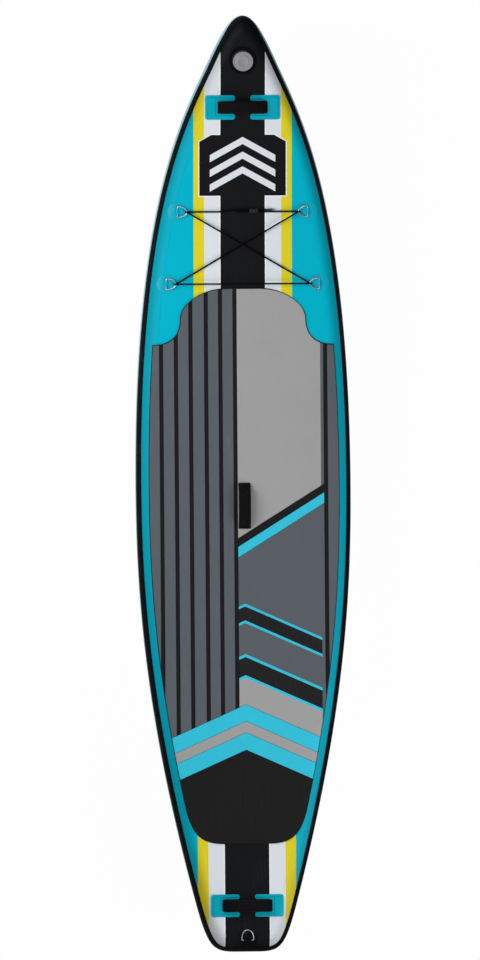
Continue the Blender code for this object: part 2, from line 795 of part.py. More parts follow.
def make_pad():
    """The foam deck pad: a black base and, on it, planks, fields, slanted bands and chevrons."""
    slots = handle_slots()
    base = patch(pad_outline(0.0), PAD_BASE_LOW, PAD_BASE_LOW + PAD_BASE)
    for slot in slots:
        boolean(base, helper(prism(slot, 0.0, THICKNESS)), "DIFFERENCE")
    finish(base, "pad_base", foam("foam_black", BLACK))
    inner = pad_outline(PAD_LIP)

    def panel(name, plan, look):
        piece = patch(plan, PAD_TOP_LOW, PAD_SURFACE)
        boolean(piece, helper(prism(inner, 0.0, THICKNESS)), "INTERSECT")
        for slot in slots:
            if crosses(slot, plan):
                boolean(piece, helper(prism(slot, 0.0, THICKNESS)), "DIFFERENCE")
        finish(piece, name, look)

    slate = foam("foam_slate", (0.12, 0.135, 0.15))
    light = foam("foam_grey", (0.36, 0.36, 0.36))
    blue = foam("foam_blue", (0.05, 0.47, 0.7))

    def ahead(x):
        return HALF_LENGTH

    def behind(x):
        return -HALF_LENGTH

    half = GROOVE / 2
    edges = [-HALF_WIDTH] + list(GROOVE_CENTRES)

    def planks_end(x):
        return chevron(x, 0.0)

    for i, (left, right) in enumerate(zip(edges, edges[1:])):
        start = left + (half if i else 0.0)
        panel(f"pad_plank_{i + 1}", strip(start, right - half, ahead, planks_end), slate)
    field_left = GROOVE_CENTRES[-1] + half
    field_right = EDGE_GROOVE_CENTRE - half
    band_low = BAND_BLACK_DEEP + BAND_BLUE_DEEP
    field = strip(field_left, field_right, ahead, lambda x: band(x, 0.0))
    panel("pad_field_front", field, light)
    field = strip(field_left, field_right, lambda x: band(x, BAND_BLACK_DEEP), lambda x: band(x, band_low))
    panel("pad_band", field, blue)
    field = strip(field_left, field_right, lambda x: band(x, band_low + INLAY_GAP), planks_end)
    panel("pad_field_rear", field, slate)
    panel("pad_plank_edge", strip(EDGE_GROOVE_CENTRE + half, HALF_WIDTH, ahead, planks_end), slate)

    deep = 0.0
    chevrons = (
        ("pad_chevron_front", CHEVRON_FRONT_DEEP, blue),
        ("pad_chevron_grey", CHEVRON_GREY_DEEP, light),
        ("pad_chevron_rear", CHEVRON_REAR_DEEP, blue),
    )
    for name, size, look in chevrons:
        start, end = deep + INLAY_GAP, deep + size
        panel(
            name,
            strip(-HALF_WIDTH, HALF_WIDTH, lambda x, s=start: chevron(x, s), lambda x, e=end: chevron(x, e)),
            look,
        )
        deep = end
    start = deep + INLAY_GAP
    tail = strip(-HALF_WIDTH, HALF_WIDTH, lambda x: chevron(x, start), behind)
    panel("pad_tail", tail, foam("foam_black", BLACK))


def crosses(slot, plan):
    """Whether two plan outlines' boxes meet."""
    a, b = np.array(slot), np.array(plan)
    return bool(np.all(a.min(axis=0) < b.max(axis=0)) and np.all(b.min(axis=0) < a.max(axis=0)))


def arch(place, half_span, base):
    """The height of a handle's webbing at a place along it."""
    return base + HANDLE_ROOT_HEIGHT + HANDLE_RISE * (1 - (abs(place) / half_span) ** 3)


def hinge_place(half_span):
    """How far from a handle's middle its webbing rises through the hinge's height."""
    share = 1 - (HANDLE_HINGE_HEIGHT - HANDLE_ROOT_HEIGHT) / HANDLE_RISE
    return half_span * share ** (1 / 3)


def ribbon(places, heights, profile, lengthwise):
    """Upright cross-sections along an arched line that runs across the board or along it."""
    stretch = np.hypot(1.0, np.gradient(heights, places))
    rings = []
    for place, height, factor in zip(places, heights, stretch):
        ring = []
        for across, above in profile:
            z = height + factor * above
            ring.append((across, place, z) if lengthwise else (place, across, z))
        rings.append(ring)
    return rings


def rectangle(wide, thick):
    """Corners of a flat strip's cross-section."""
    return [(-wide / 2, -thick / 2), (wide / 2, -thick / 2), (wide / 2, thick / 2), (-wide / 2, thick / 2)]


def shifted(rings, x, y):
    """Rings moved in plan."""
    return [[(px + x, py + y, pz) for px, py, pz in ring] for ring in rings]


def handle_strap(name, x, y, half_span, base, lengthwise):
    """The arched webbing and its padded sleeve, which swing together."""
    end = hinge_place(half_span) - GAP
    places = np.linspace(-end, end, 11)
    heights = [arch(p, half_span, base) for p in places]
    tape = ribbon(places, heights, rectangle(WEBBING_WIDE, WEBBING_THICK), lengthwise)
    finish(helper(from_rings(shifted(tape, x, y))), f"{name}_webbing", webbing(), cut=False)
    inner = places.copy()
    inner[0] += SLEEVE_SETBACK
    inner[-1] -= SLEEVE_SETBACK
    heights = np.interp(inner, places, heights)
    section_outside = rounded(rectangle(SLEEVE_WIDE, SLEEVE_THICK), [SLEEVE_CORNER] * 4, steps=1)
    section_inside = rectangle(WEBBING_WIDE + 2 * GAP, WEBBING_THICK + 2 * GAP)
    outer = shifted(ribbon(inner, heights, section_outside, lengthwise), x, y)
    hollow = shifted(ribbon(inner, heights, section_inside, lengthwise), x, y)
    hollow[0] = [tuple(2 * a - b for a, b in zip(p, q)) for p, q in zip(hollow[0], hollow[1])]
    hollow[-1] = [tuple(2 * a - b for a, b in zip(p, q)) for p, q in zip(hollow[-1], hollow[-2])]
    sleeve = helper(from_rings(outer))
    boolean(sleeve, helper(from_rings(hollow)), "DIFFERENCE")
    finish(sleeve, f"{name}_sleeve", material("neoprene_black", BLACK, 0.7), cut=False)


def stub(x, y, half_span, base, lengthwise, sign, buried):
    """The fixed end of a handle's webbing, from under its patch to the hinge."""
    start, end = half_span + buried, hinge_place(half_span)
    places = np.linspace(start, end, 6) * sign
    heights = [arch(min(abs(p), half_span), half_span, base) for p in places]
    tape = ribbon(places, heights, rectangle(WEBBING_WIDE, WEBBING_THICK), lengthwise)
    return helper(from_rings(shifted(tape, x, y)))


def cross_handle(name, back, outer, deep, arm_wide):
    """A carry handle that lies across the board, with a C-shaped patch at each end."""
    y = station(back)
    deck = HALF_THICK
    for sign, side in ((1, "starboard"), (-1, "port")):
        half = deep / 2
        arm = half - arm_wide
        mouth = HANDLE_HALF_SPAN + SLOT_CLEAR
        corners = [
            (PATCH_INNER, -half),
            (outer, -half),
            (outer, half),
            (PATCH_INNER, half),
            (PATCH_INNER, arm),
            (mouth, arm),
            (mouth, -arm),
            (PATCH_INNER, -arm),
        ]
        radii = [PATCH_CORNER] * 4 + [PATCH_INNER_CORNER, 0.0, 0.0, PATCH_INNER_CORNER]
        plan = [(sign * px, y + py) for px, py in rounded(corners, radii)]
        mount = patch(plan, GAP, GAP + PATCH_THICK)
        boolean(mount, stub(0.0, y, HANDLE_HALF_SPAN, deck, False, sign, STUB_BURIED), "UNION")
        finish(mount, f"{name}_patch_{side}", pvc())
    handle_strap(name, 0.0, y, HANDLE_HALF_SPAN, deck, False)


def handle_slots():
    """The openings in the pad that the centre handle's webbing comes up through."""
    y = station(CENTRE_HANDLE_BACK)
    half = WEBBING_WIDE / 2 + SLOT_CLEAR
    slots = []
    for sign in (1, -1):
        middle = y + sign * (CENTRE_HANDLE_HALF_SPAN - CENTRE_SLOT_LONG / 2 + SLOT_CLEAR)
        long = CENTRE_SLOT_LONG / 2 + SLOT_CLEAR
        near, far = middle - long, middle + long
        slots.append([(-half, near), (half, near), (half, far), (-half, far)])
    return slots


def centre_handle():
    """The lengthwise carry handle at the balance point."""
    y = station(CENTRE_HANDLE_BACK)
    base = HALF_THICK + PAD_SURFACE
    for sign, end in ((1, "front"), (-1, "rear")):
        piece = stub(0.0, y, CENTRE_HANDLE_HALF_SPAN, base, True, sign, 0.0)
        foot_long = CENTRE_SLOT_LONG - 2 * SLOT_CLEAR
        foot_y = y + sign * (CENTRE_HANDLE_HALF_SPAN - foot_long / 2)
        foot_tall = PAD_SURFACE + HANDLE_ROOT_HEIGHT - GAP
        foot = box((WEBBING_WIDE, foot_long, foot_tall), (0, foot_y, HALF_THICK + GAP + foot_tall / 2))
        boolean(piece, helper(foot), "UNION")
        finish(piece, f"centre_handle_end_{end}", webbing(), cut=False)
    handle_strap("centre_handle", 0.0, y, CENTRE_HANDLE_HALF_SPAN, base, True)


def ring_curve(name, long, reach):
    """A D-shaped ring of round wire: its bar lies along X at the origin and its bow reaches along +Y."""
    points = [(-long / 2, 0.0)]
    for k in range(1, RING_STEPS):
        angle = math.pi * (1 - k / RING_STEPS)
        points.append((long / 2 * math.cos(angle), reach * math.sin(angle) ** RING_SQUARENESS))
    points.append((long / 2, 0.0))
    curve = bpy.data.curves.new(name, "CURVE")
    curve.dimensions = "3D"
    curve.bevel_depth = RING_WIRE / 2
    curve.bevel_resolution = 1
    spline = curve.splines.new("POLY")
    spline.points.add(len(points) - 1)
    for point, (x, y) in zip(spline.points, points):
        point.co = (x, y, 0.0, 1.0)
    spline.use_cyclic_u = True
    curve.materials.append(steel())
    thing = bpy.data.objects.new(name, curve)
    bpy.context.scene.collection.objects.link(thing)
    return thing


def keeper(centre_height, along_y):
    """The moulded loop that holds a ring's bar, drawn at the origin with its bore along X or Y."""
    bore = RING_WIRE / 2 + RUNNING
    outer = bore + KEEPER_WALL
    arc = [(outer * math.cos(math.pi * k / 8), outer * math.sin(math.pi * k / 8)) for k in range(9)]
    outline = [(outer, -centre_height)] + arc + [(-outer, -centre_height)]
    rings = []
    for end in (-KEEPER_WIDE / 2, KEEPER_WIDE / 2):
        rings.append([(u, end, v) if along_y else (end, u, v) for u, v in outline])
    block = helper(from_rings(rings))
    direction = (0, 1, 0) if along_y else (1, 0, 0)
    boolean(block, helper(rod(bore, (0, 0, 0), direction, 2 * KEEPER_WIDE)), "DIFFERENCE")
    return block


def bar_height():
    """The height of a bungee ring's bar above the deck."""
    return GAP + RING_PATCH_THICK + RUNNING + RING_WIRE / 2


def place(thing, x, y, height, turn):
    """Puts a rigid piece on the hull at a height above its middle plane, tipped with the rocker there."""
    thing.matrix_world = (
        Matrix.Translation((x, y, MIDDLE + rocker(y) + height)) @ Matrix.Rotation(slope(y), 4, "X") @ turn
    )
    return thing


def above_deck(x, y, height):
    """The world place at a height along the deck's normal."""
    lean = slope(y)
    top = MIDDLE + rocker(y) + HALF_THICK
    return x, y - height * math.sin(lean), top + height * math.cos(lean)


def bar_place(bow):
    """How far from the centreline a bungee ring's bar lies, when its bow lies at bow."""
    rise = RING_BOW_HEIGHT - bar_height()
    return bow + math.sqrt(RING_REACH**2 - rise**2)


def bungee_ring(name, back, bow, sign):
    """A D-ring whose bow points inboard, with its round patch and keeper."""
    y = station(back)
    x = sign * bar_place(bow)
    plan = circle(RING_PATCH_RADIUS, (x, y), 24)
    base = patch(plan, GAP, GAP + RING_PATCH_THICK)
    loop = keeper(bar_height() - GAP - RING_PATCH_THICK / 2, True)
    loop.location = (x, y, HALF_THICK + bar_height())
    bpy.context.view_layer.update()
    boolean(base, loop, "UNION")
    finish(base, f"{name}_patch", pvc())
    tilt = math.asin((RING_BOW_HEIGHT - bar_height()) / RING_REACH)
    turn = Matrix.Rotation(sign * math.pi / 2, 4, "Z") @ Matrix.Rotation(tilt, 4, "X")
    place(ring_curve(name, RING_LONG, RING_REACH), x, y, HALF_THICK + bar_height(), turn)


def leash_ring():
    """The tail ring for an ankle leash: its bar lies across the board and its bow towards the nose."""
    y = station(LEASH_BACK)
    half, deep = LEASH_PATCH_WIDE / 2, LEASH_PATCH_DEEP / 2
    plan = rounded_box(half, deep, y, LEASH_PATCH_CORNER)
    base = patch(plan, GAP, GAP + RING_PATCH_THICK)
    height = leash_bar_height()
    loop = keeper(height - deck_height(0.0, y) + LEASH_SINK, False)
    loop.location = (0, y, height)
    bpy.context.view_layer.update()
    boolean(base, loop, "UNION")
    boolean(base, hull_top(GAP), "DIFFERENCE")
    bore = rod(RING_WIRE / 2 + RUNNING, (0, y, height), (1, 0, 0), LEASH_PATCH_WIDE + 2 * KEEPER_WIDE)
    boolean(base, helper(bore), "DIFFERENCE")
    finish(base, "leash_ring_patch", black_pvc())
    ring = ring_curve("leash_ring", LEASH_LONG, LEASH_REACH)
    place(ring, 0.0, y, height, Matrix.Rotation(leash_tilt(), 4, "X"))


def deck_fall(y):
    """The angle at which the hull's top falls towards the tail on the centreline."""
    step = 0.0005
    return math.atan2(deck_height(0.0, y + step) - deck_height(0.0, y - step), 2 * step)


def over_patch(y):
    """The least height of a ring wire's middle over the leash ring's patch, above the middle plane."""
    room = GAP + RING_PATCH_THICK + RUNNING + RING_WIRE / 2
    return deck_height(0.0, y) + room / math.cos(deck_fall(y))


def leash_bar_height():
    """The height of the leash ring's bar above the middle plane, clear of its curved patch."""
    return over_patch(station(LEASH_BACK))


def leash_tilt():
    """How far the leash ring slopes up towards its bow where it rests, as an angle."""
    y = station(LEASH_BACK)
    runs = np.linspace(RING_WIRE, LEASH_REACH, 12)
    return max(math.atan2(over_patch(y + run) - leash_bar_height(), run) for run in runs)


def ring_turn(back, bow, sign, low_first):
    """The cord's half turn round a ring's bow, from below it to above it or the other way."""
    radius = RING_WIRE / 2 + GAP + CORD / 2
    angles = [-90, -45, 0, 45, 90] if low_first else [90, 45, 0, -45, -90]
    points = []
    for degrees in angles:
        angle = math.radians(degrees)
        x = sign * (bow + radius * math.cos(angle))
        points.append((x, station(back), RING_BOW_HEIGHT + radius * math.sin(angle)))
    return points


def make_cord():
    """The deck bungee, one length from its tip through the lock, round the four rings and back."""
    front, rear = station(FRONT_RING_BACK), station(REAR_RING_BACK)
    line = lock_height()
    beside = front + LOCK_STRANDS
    share = FRONT_RING_BOW / (FRONT_RING_BOW + REAR_RING_BOW)
    crossing = front + (rear - front) * share
    points = [(x, front, line) for x in (CORD_SHORT_END, LOCK_CENTRE, LOCK_CENTRE + LOCK_LEAD)]
    points += ring_turn(FRONT_RING_BACK, FRONT_RING_BOW, 1, True)
    points += [(0.0, crossing, CORD_LOW_CROSSING)]
    points += ring_turn(REAR_RING_BACK, REAR_RING_BOW, -1, True)
    points += ring_turn(REAR_RING_BACK, REAR_RING_BOW, 1, False)
    points += [(0.0, crossing, CORD_HIGH_CROSSING)]
    points += ring_turn(FRONT_RING_BACK, FRONT_RING_BOW, -1, False)
    points += [(CORD_SHORT_END - LOCK_LEAD, beside, line), (CORD_SHORT_END, beside, line)]
    points += [(LOCK_CENTRE + LOCK_EXIT, beside, line)]
    points += [(CORD_TIP, beside + CORD_TIP_ASIDE, CORD / 2 + 2 * GAP)]
    curve = bpy.data.curves.new("bungee_cord", "CURVE")
    curve.dimensions = "3D"
    curve.bevel_depth = CORD / 2
    curve.bevel_resolution = 2
    curve.use_fill_caps = True
    spline = curve.splines.new("POLY")
    dense = with_steps(points, CORD_STEP)
    spline.points.add(len(dense) - 1)
    for point, (x, y, height) in zip(spline.points, dense):
        point.co = (*above_deck(x, y, height), 1.0)
    curve.materials.append(material("bungee_black", BLACK, 0.8))
    bpy.context.scene.collection.objects.link(bpy.data.objects.new("bungee_cord", curve))


def with_steps(points, longest):
    """The same line with more points on its long straight runs."""
    done = [points[0]]
    for before, after in zip(points, points[1:]):
        parts = max(1, math.ceil(math.dist(before, after) / longest))
        for k in range(1, parts + 1):
            done.append(tuple(a + (b - a) * k / parts for a, b in zip(before, after)))
    return done


def lock_height():
    """The height of the strands inside the cord lock above the deck."""
    return LOCK_LIFT + LOCK_FLOOR + CORD / 2


def make_cord_lock():
    """The two-strand cord lock: a body with two bores, a press button and its spring."""
    y = station(FRONT_RING_BACK)
    middle = y + LOCK_STRANDS / 2
    top = LOCK_LIFT + LOCK_TALL
    plan = rounded_box(LOCK_LONG / 2, LOCK_WIDE / 2, 0.0, LOCK_CORNER)
    body = helper(prism(plan, LOCK_LIFT, top))
    for strand in (-LOCK_STRANDS / 2, LOCK_STRANDS / 2):
        bore = rod(CORD / 2 + GAP, (0, strand, lock_height()), (1, 0, 0), 2 * LOCK_LONG)
        boolean(body, helper(bore), "DIFFERENCE")
    well = LOCK_BUTTON / 2 + GAP
    floor = top - LOCK_WELL_DEEP
    boolean(body, helper(box((2 * well, 2 * well, 2 * LOCK_WELL_DEEP), (0, 0, top))), "DIFFERENCE")
    settle_lock(body, "cord_lock_body", middle, material("nylon_grey", (0.035, 0.036, 0.038), 0.45))
    button_low = floor + LOCK_PRESS + 4 * GAP
    bm = box((LOCK_BUTTON, LOCK_BUTTON, LOCK_BUTTON_TALL), (0, 0, button_low + LOCK_BUTTON_TALL / 2))
    rim = [e for e in bm.edges if all(v.co.z > button_low + LOCK_BUTTON_TALL / 2 for v in e.verts)]
    bmesh.ops.bevel(bm, geom=rim, offset=LOCK_BUTTON_BEVEL, segments=1, affect="EDGES")
    settle_lock(helper(bm), "cord_lock_button", middle, black_nylon())
    wire = LOCK_SPRING_WIRE / 2
    spring = coil(LOCK_SPRING_RADIUS, wire, floor + GAP, button_low - GAP, LOCK_SPRING_TURNS)
    settle_lock(spring, "cord_lock_spring", middle, steel())


def settle_lock(thing, name, y, look):
    """Moves a cord lock piece, drawn over the origin, to its place on the deck."""
    thing.name = name
    thing.data.name = name
    thing.data.materials.clear()
    thing.data.materials.append(look)
    place(thing, LOCK_CENTRE, y, HALF_THICK, Matrix.Identity(4))


def coil(radius, wire, low, high, turns):
    """A coil spring about Z whose wire's ends are cut square, between two heights."""
    per_turn = 9
    count = int(turns * per_turn)
    rings = []
    run = high - low - 2 * wire
    for i in range(count + 1):
        angle = 2 * math.pi * i / per_turn
        height = low + wire + run * i / count
        out = Vector((math.cos(angle), math.sin(angle), 0))
        ring = []
        for k in range(4):
            spin = 2 * math.pi * k / 4
            at = out * (radius + wire * math.cos(spin)) + Vector((0, 0, height + wire * math.sin(spin)))
            ring.append(tuple(at))
        rings.append(ring)
    return helper(from_rings(rings))


def settle_valve(thing, name, look):
    """Moves a valve piece, drawn over the origin with the deck at zero, to the nose."""
    thing.name = name
    thing.data.name = name
    thing.data.materials.clear()
    thing.data.materials.append(look)
    place(thing, 0.0, station(VALVE_BACK), HALF_THICK, Matrix.Identity(4))


def make_valve():
    """The inflation valve: patch, body, inner nut, plunger, spring, cap and the cap's seal."""
    y = station(VALVE_BACK)
    base = patch(circle(VALVE_PATCH_RADIUS, (0, y), 32), GAP, GAP + VALVE_PATCH_THICK)
    hole = prism(circle(VALVE_BARREL_RADIUS + GAP, (0, y), 24), 0.0, THICKNESS)
    boolean(base, helper(hole), "DIFFERENCE")
    finish(base, "valve_patch", black_pvc())
    flange_low = 2 * GAP + VALVE_PATCH_THICK
    flange_top = flange_low + VALVE_FLANGE_THICK
    neck_top = flange_low + VALVE_NECK_TALL
    bottom = -VALVE_BARREL_DEEP
    seat = bottom + VALVE_SEAT_THICK
    body = helper(
        turned(
            [
                (VALVE_SEAT_RADIUS, bottom),
                (VALVE_BARREL_RADIUS, bottom),
                (VALVE_BARREL_RADIUS, flange_low),
                (VALVE_FLANGE_RADIUS, flange_low),
                (VALVE_FLANGE_RADIUS, flange_low + VALVE_FLANGE_THICK / 2),
                (VALVE_FLANGE_RADIUS - VALVE_FLANGE_THICK / 2, flange_top),
                (VALVE_NECK_RADIUS, flange_top),
                (VALVE_NECK_RADIUS, neck_top),
                (VALVE_BORE_RADIUS, neck_top),
                (VALVE_BORE_RADIUS, seat),
                (VALVE_SEAT_RADIUS, seat),
            ]
        )
    )
    spider_top = -SPIDER_DEPTH
    spider_middle = spider_top - SPIDER_THICK / 2
    for angle in (0.0, math.pi / 2):
        arm = box((2 * (VALVE_BORE_RADIUS + SPIDER_BITE), SPIDER_WIDE, SPIDER_THICK), (0, 0, 0))
        bmesh.ops.rotate(arm, verts=arm.verts, cent=(0, 0, 0), matrix=Matrix.Rotation(angle, 3, "Z"))
        bmesh.ops.translate(arm, verts=arm.verts, vec=(0, 0, spider_middle))
        boolean(body, helper(arm), "UNION")
    guide = disc(STEM_RADIUS + GAP, (0, 0), spider_middle - SPIDER_THICK, spider_middle + SPIDER_THICK, 12)
    boolean(body, helper(guide), "DIFFERENCE")
    settle_valve(body, "valve_body", black_nylon())
    nut_top = -SKIN - GAP
    inner = VALVE_BARREL_RADIUS + RUNNING
    nut = turned(
        [
            (inner, nut_top - VALVE_NUT_THICK),
            (VALVE_NUT_RADIUS, nut_top - VALVE_NUT_THICK),
            (VALVE_NUT_RADIUS, nut_top),
            (inner, nut_top),
        ],
        24,
    )
    settle_valve(helper(nut), "valve_nut", black_nylon())
    button_top = neck_top - PLUNGER_SINK
    button_low = button_top - PLUNGER_BUTTON_THICK
    disc_top = bottom - GAP
    plunger = turned(
        [
            (0.0, button_top),
            (0.0, disc_top - PLUNGER_DISC_THICK),
            (PLUNGER_DISC_RADIUS, disc_top - PLUNGER_DISC_THICK),
            (PLUNGER_DISC_RADIUS, disc_top),
            (STEM_RADIUS, disc_top),
            (STEM_RADIUS, button_low),
            (PLUNGER_BUTTON_RADIUS, button_low),
            (PLUNGER_BUTTON_RADIUS, button_top),
        ],
        16,
    )
    settle_valve(helper(plunger), "valve_plunger", material("nylon_white", (0.75, 0.75, 0.73), 0.4))
    spring_radius = STEM_RADIUS + 2 * GAP + SPRING_WIRE
    spring = coil(spring_radius, SPRING_WIRE / 2, spider_top + GAP, button_low - GAP, SPRING_TURNS)
    settle_valve(spring, "valve_spring", steel())
    seal_radius = (VALVE_NECK_RADIUS + VALVE_BORE_RADIUS) / 2
    seal_middle = neck_top + GAP + CAP_SEAL_WIRE / 2
    ring = circle(CAP_SEAL_WIRE / 2, (seal_radius, seal_middle), 6)
    settle_valve(helper(turned(ring, 20)), "valve_cap_seal", material("rubber_black", BLACK, 0.6))
    cap_under = neck_top + 2 * GAP + CAP_SEAL_WIRE
    cap_top = cap_under + CAP_TOP_THICK
    skirt_low = flange_top + GAP
    skirt_inner = VALVE_NECK_RADIUS + 2 * GAP
    skirt_outer = skirt_inner + CAP_SKIRT_WALL
    cap = turned(
        [
            (0.0, cap_top),
            (0.0, cap_under),
            (skirt_inner, cap_under),
            (skirt_inner, skirt_low),
            (skirt_outer, skirt_low),
            (skirt_outer, cap_under),
            (CAP_RADIUS, cap_under),
            (CAP_RADIUS, cap_top - CAP_BEVEL),
            (CAP_RADIUS - CAP_BEVEL, cap_top),
        ]
    )
    settle_valve(helper(cap), "valve_cap", material("nylon_silver", (0.3, 0.3, 0.31), 0.4))


def fin_middle():
    return station(FIN_BACK)


def mouth_height():
    """The world height of the fin box's open face."""
    return FIN_DEPTH


def make_fin_box():
    """The fin box, glued under the tail, with its slot, side grooves and entry notch."""
    y = fin_middle()
    top = FLOOR_TO_HULL - GAP
    plan = rounded_box(FIN_FLANGE_WIDE / 2, FIN_FLANGE_LONG / 2, y, FIN_FLANGE_CORNER, steps=6)
    flange = helper(prism(plan, top - FIN_FLANGE_THICK, top))
    low = mouth_height()
    block_top = top - FIN_FLANGE_THICK / 2
    plan = rounded_box(FIN_BOX_WIDE / 2, FIN_BOX_LONG / 2, y, FIN_BOX_CORNER)
    boolean(flange, helper(prism(plan, low, block_top)), "UNION")
    slot = box((FIN_SLOT_WIDE, FIN_SLOT_LONG, 2 * FIN_SLOT_DEEP), (0, y, low))
    boolean(flange, helper(slot), "DIFFERENCE")
    groove_middle = low + FIN_GROOVE_DEPTH + FIN_GROOVE_TALL / 2
    groove_long = FIN_SLOT_LONG - 2 * FIN_GROOVE_END
    groove = box((FIN_GROOVE_WIDE, groove_long, FIN_GROOVE_TALL), (0, y, groove_middle))
    boolean(flange, helper(groove), "DIFFERENCE")
    entry_y = y - groove_long / 2 + FIN_ENTRY_LONG / 2
    entry_tall = 2 * (FIN_GROOVE_DEPTH + GAP)
    entry = box((FIN_GROOVE_WIDE, FIN_ENTRY_LONG, entry_tall), (0, entry_y, low))
    boolean(flange, helper(entry), "DIFFERENCE")
    name_only(flange, "fin_box", black_nylon())


def name_only(thing, name, look):
    """Names a piece that was drawn where it stands."""
    thing.name = name
    thing.data.name = name
    thing.data.materials.clear()
    thing.data.materials.append(look)


def foil(chord, thick, lead, z, y):
    """One horizontal section of the fin: rounded in front and thin behind."""
    shares = ((0.0, 0.0), (0.04, 0.55), (0.15, 0.88), (0.35, 1.0), (0.7, 0.6), (1.0, 0.12))
    right = [(thick / 2 * t, y + lead - chord * s, z) for s, t in shares]
    left = [(-px, py, pz) for px, py, pz in right[:0:-1]]
    return right + left


def make_fin():
    """The centre fin with its tab, its cross pin, and the screw and nut plate that hold it."""
    y = fin_middle()
    low = mouth_height()
    tab_top = low + FIN_TAB_DEEP
    rings = []
    least = FIN_TIP_LONG * FIN_TIP_SHARE
    for share in FIN_LEVELS:
        taper = math.sqrt(max(0.0, 1 - share**FIN_ROUND_POWER))
        fullness = (1 - FIN_ROUND_SHARE) * (1 - share) + FIN_ROUND_SHARE * taper
        chord = least + (FIN_BASE_LONG - least) * fullness
        lead = FIN_BASE_LONG / 2 - FIN_RAKE * share**FIN_RAKE_POWER - (FIN_BASE_LONG - chord) * FIN_LEAD_SHARE
        thick = FIN_THICK * (1 - FIN_THINNING * share)
        rings.append(foil(chord, thick, lead, (low - GAP) * (1 - share), y))
    fin = helper(from_rings(rings))
    tab_low = low - FIN_JOIN
    tab_wide = FIN_SLOT_WIDE - 2 * GAP
    tab = box((tab_wide, FIN_TAB_LONG, tab_top - tab_low), (0, y, (tab_low + tab_top) / 2))
    boolean(fin, helper(tab), "UNION")
    pin_y = y - FIN_TAB_LONG / 2 + FIN_PIN_INSET
    groove_middle = low + FIN_GROOVE_DEPTH + FIN_GROOVE_TALL / 2
    pin_bore = rod(FIN_PIN_RADIUS + FIN_PIN_CLEAR, (0, pin_y, groove_middle), (1, 0, 0), 2 * FIN_BOX_WIDE)
    boolean(fin, helper(pin_bore), "DIFFERENCE")
    tongue_y = y + FIN_TAB_LONG / 2 + FIN_TONGUE_LONG / 2 - FIN_TONGUE_BITE
    tongue_z = low + FIN_TONGUE_THICK / 2 + GAP
    tongue = box((tab_wide, FIN_TONGUE_LONG, FIN_TONGUE_THICK), (0, tongue_y, tongue_z))
    boolean(fin, helper(tongue), "UNION")
    screw_y = y + FIN_TAB_LONG / 2 + FIN_TONGUE_LONG / 2
    hole = rod(SCREW_RADIUS + GAP, (0, screw_y, low), (0, 0, 1), 2 * FIN_BOX_TALL)
    step_top = low + GAP / 2
    step_rear, step_front = screw_y - SCREW_ROOM, y + FIN_BASE_LONG
    step_wide = 2 * (SCREW_HEAD_RADIUS + SCREW_SIDE_ROOM)
    step_middle = (0, (step_rear + step_front) / 2, step_top - SCREW_ROOM / 2)
    step = box((step_wide, step_front - step_rear, SCREW_ROOM), step_middle)
    boolean(fin, helper(step), "DIFFERENCE")
    boolean(fin, helper(hole), "DIFFERENCE")
    name_only(fin, "fin", material("fin_black", BLACK, 0.3))
    pin = helper(rod(FIN_PIN_RADIUS, (0, pin_y, groove_middle), (1, 0, 0), FIN_PIN_LONG))
    name_only(pin, "fin_pin", material("brass", (0.65, 0.47, 0.2), 0.3, 1.0))
    nut_wide = FIN_GROOVE_WIDE - 4 * GAP
    nut = helper(box((nut_wide, NUT_LONG, NUT_THICK), (0, screw_y, groove_middle)))
    nut_bore = rod(SCREW_RADIUS + GAP, (0, screw_y, groove_middle), (0, 0, 1), 2 * FIN_BOX_TALL)
    boolean(nut, helper(nut_bore), "DIFFERENCE")
    name_only(nut, "fin_nut_plate", material("brass", (0.65, 0.47, 0.2), 0.3, 1.0))
    shank_top = groove_middle + NUT_THICK / 2 + SCREW_PROUD
    head_top = low - GAP / 2
    head_low = head_top - SCREW_HEAD_TALL
    screw = helper(
        turned(
            [
                (0.0, shank_top),
                (0.0, head_low),
                (SCREW_HEAD_RADIUS - SCREW_BEVEL, head_low),
                (SCREW_HEAD_RADIUS, head_low + SCREW_BEVEL),
                (SCREW_HEAD_RADIUS, head_top),
                (SCREW_RADIUS, head_top),
                (SCREW_RADIUS, shank_top),
            ],
            16,
        )
    )
    recess = box(SCREW_SLOT, (0, 0, head_low))
    boolean(screw, helper(recess), "DIFFERENCE")
    screw.location = (0, screw_y, 0)
    name_only(screw, "fin_screw", steel())


def drop_helpers():
    """Removes objects that booleans have used up."""
    for thing in list(bpy.data.objects):
        if thing.name.startswith("helper"):
            bpy.data.objects.remove(thing, do_unlink=True)


def main():
    """Builds the whole board."""
    clear_scene()
    make_core()
    make_skins()
    make_rails()
    make_rail_stripe()
    make_pad()
    cross_handle("front_handle", HANDLE_FRONT_BACK, *FRONT_PATCH)
    cross_handle("tail_handle", HANDLE_TAIL_BACK, *TAIL_PATCH)
    centre_handle()
    for sign, side in ((1, "starboard"), (-1, "port")):
        bungee_ring(f"front_ring_{side}", FRONT_RING_BACK, FRONT_RING_BOW, sign)
        bungee_ring(f"rear_ring_{side}", REAR_RING_BACK, REAR_RING_BOW, sign)
    leash_ring()
    make_cord()
    make_cord_lock()
    make_valve()
    make_fin_box()
    make_fin()
    drop_helpers()


main()
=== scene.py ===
"""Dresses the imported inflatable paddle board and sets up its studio.

Metres, +Y towards the nose, +X to starboard, +Z up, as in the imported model. Most pieces are drawn flat, at a
height above the hull's own surface, laid on that surface and then lifted by the nose rocker.
"""

import logging
import math
from collections.abc import Callable, Iterable, Mapping, Sequence
from dataclasses import dataclass, replace
from enum import Enum
from functools import cached_property, reduce

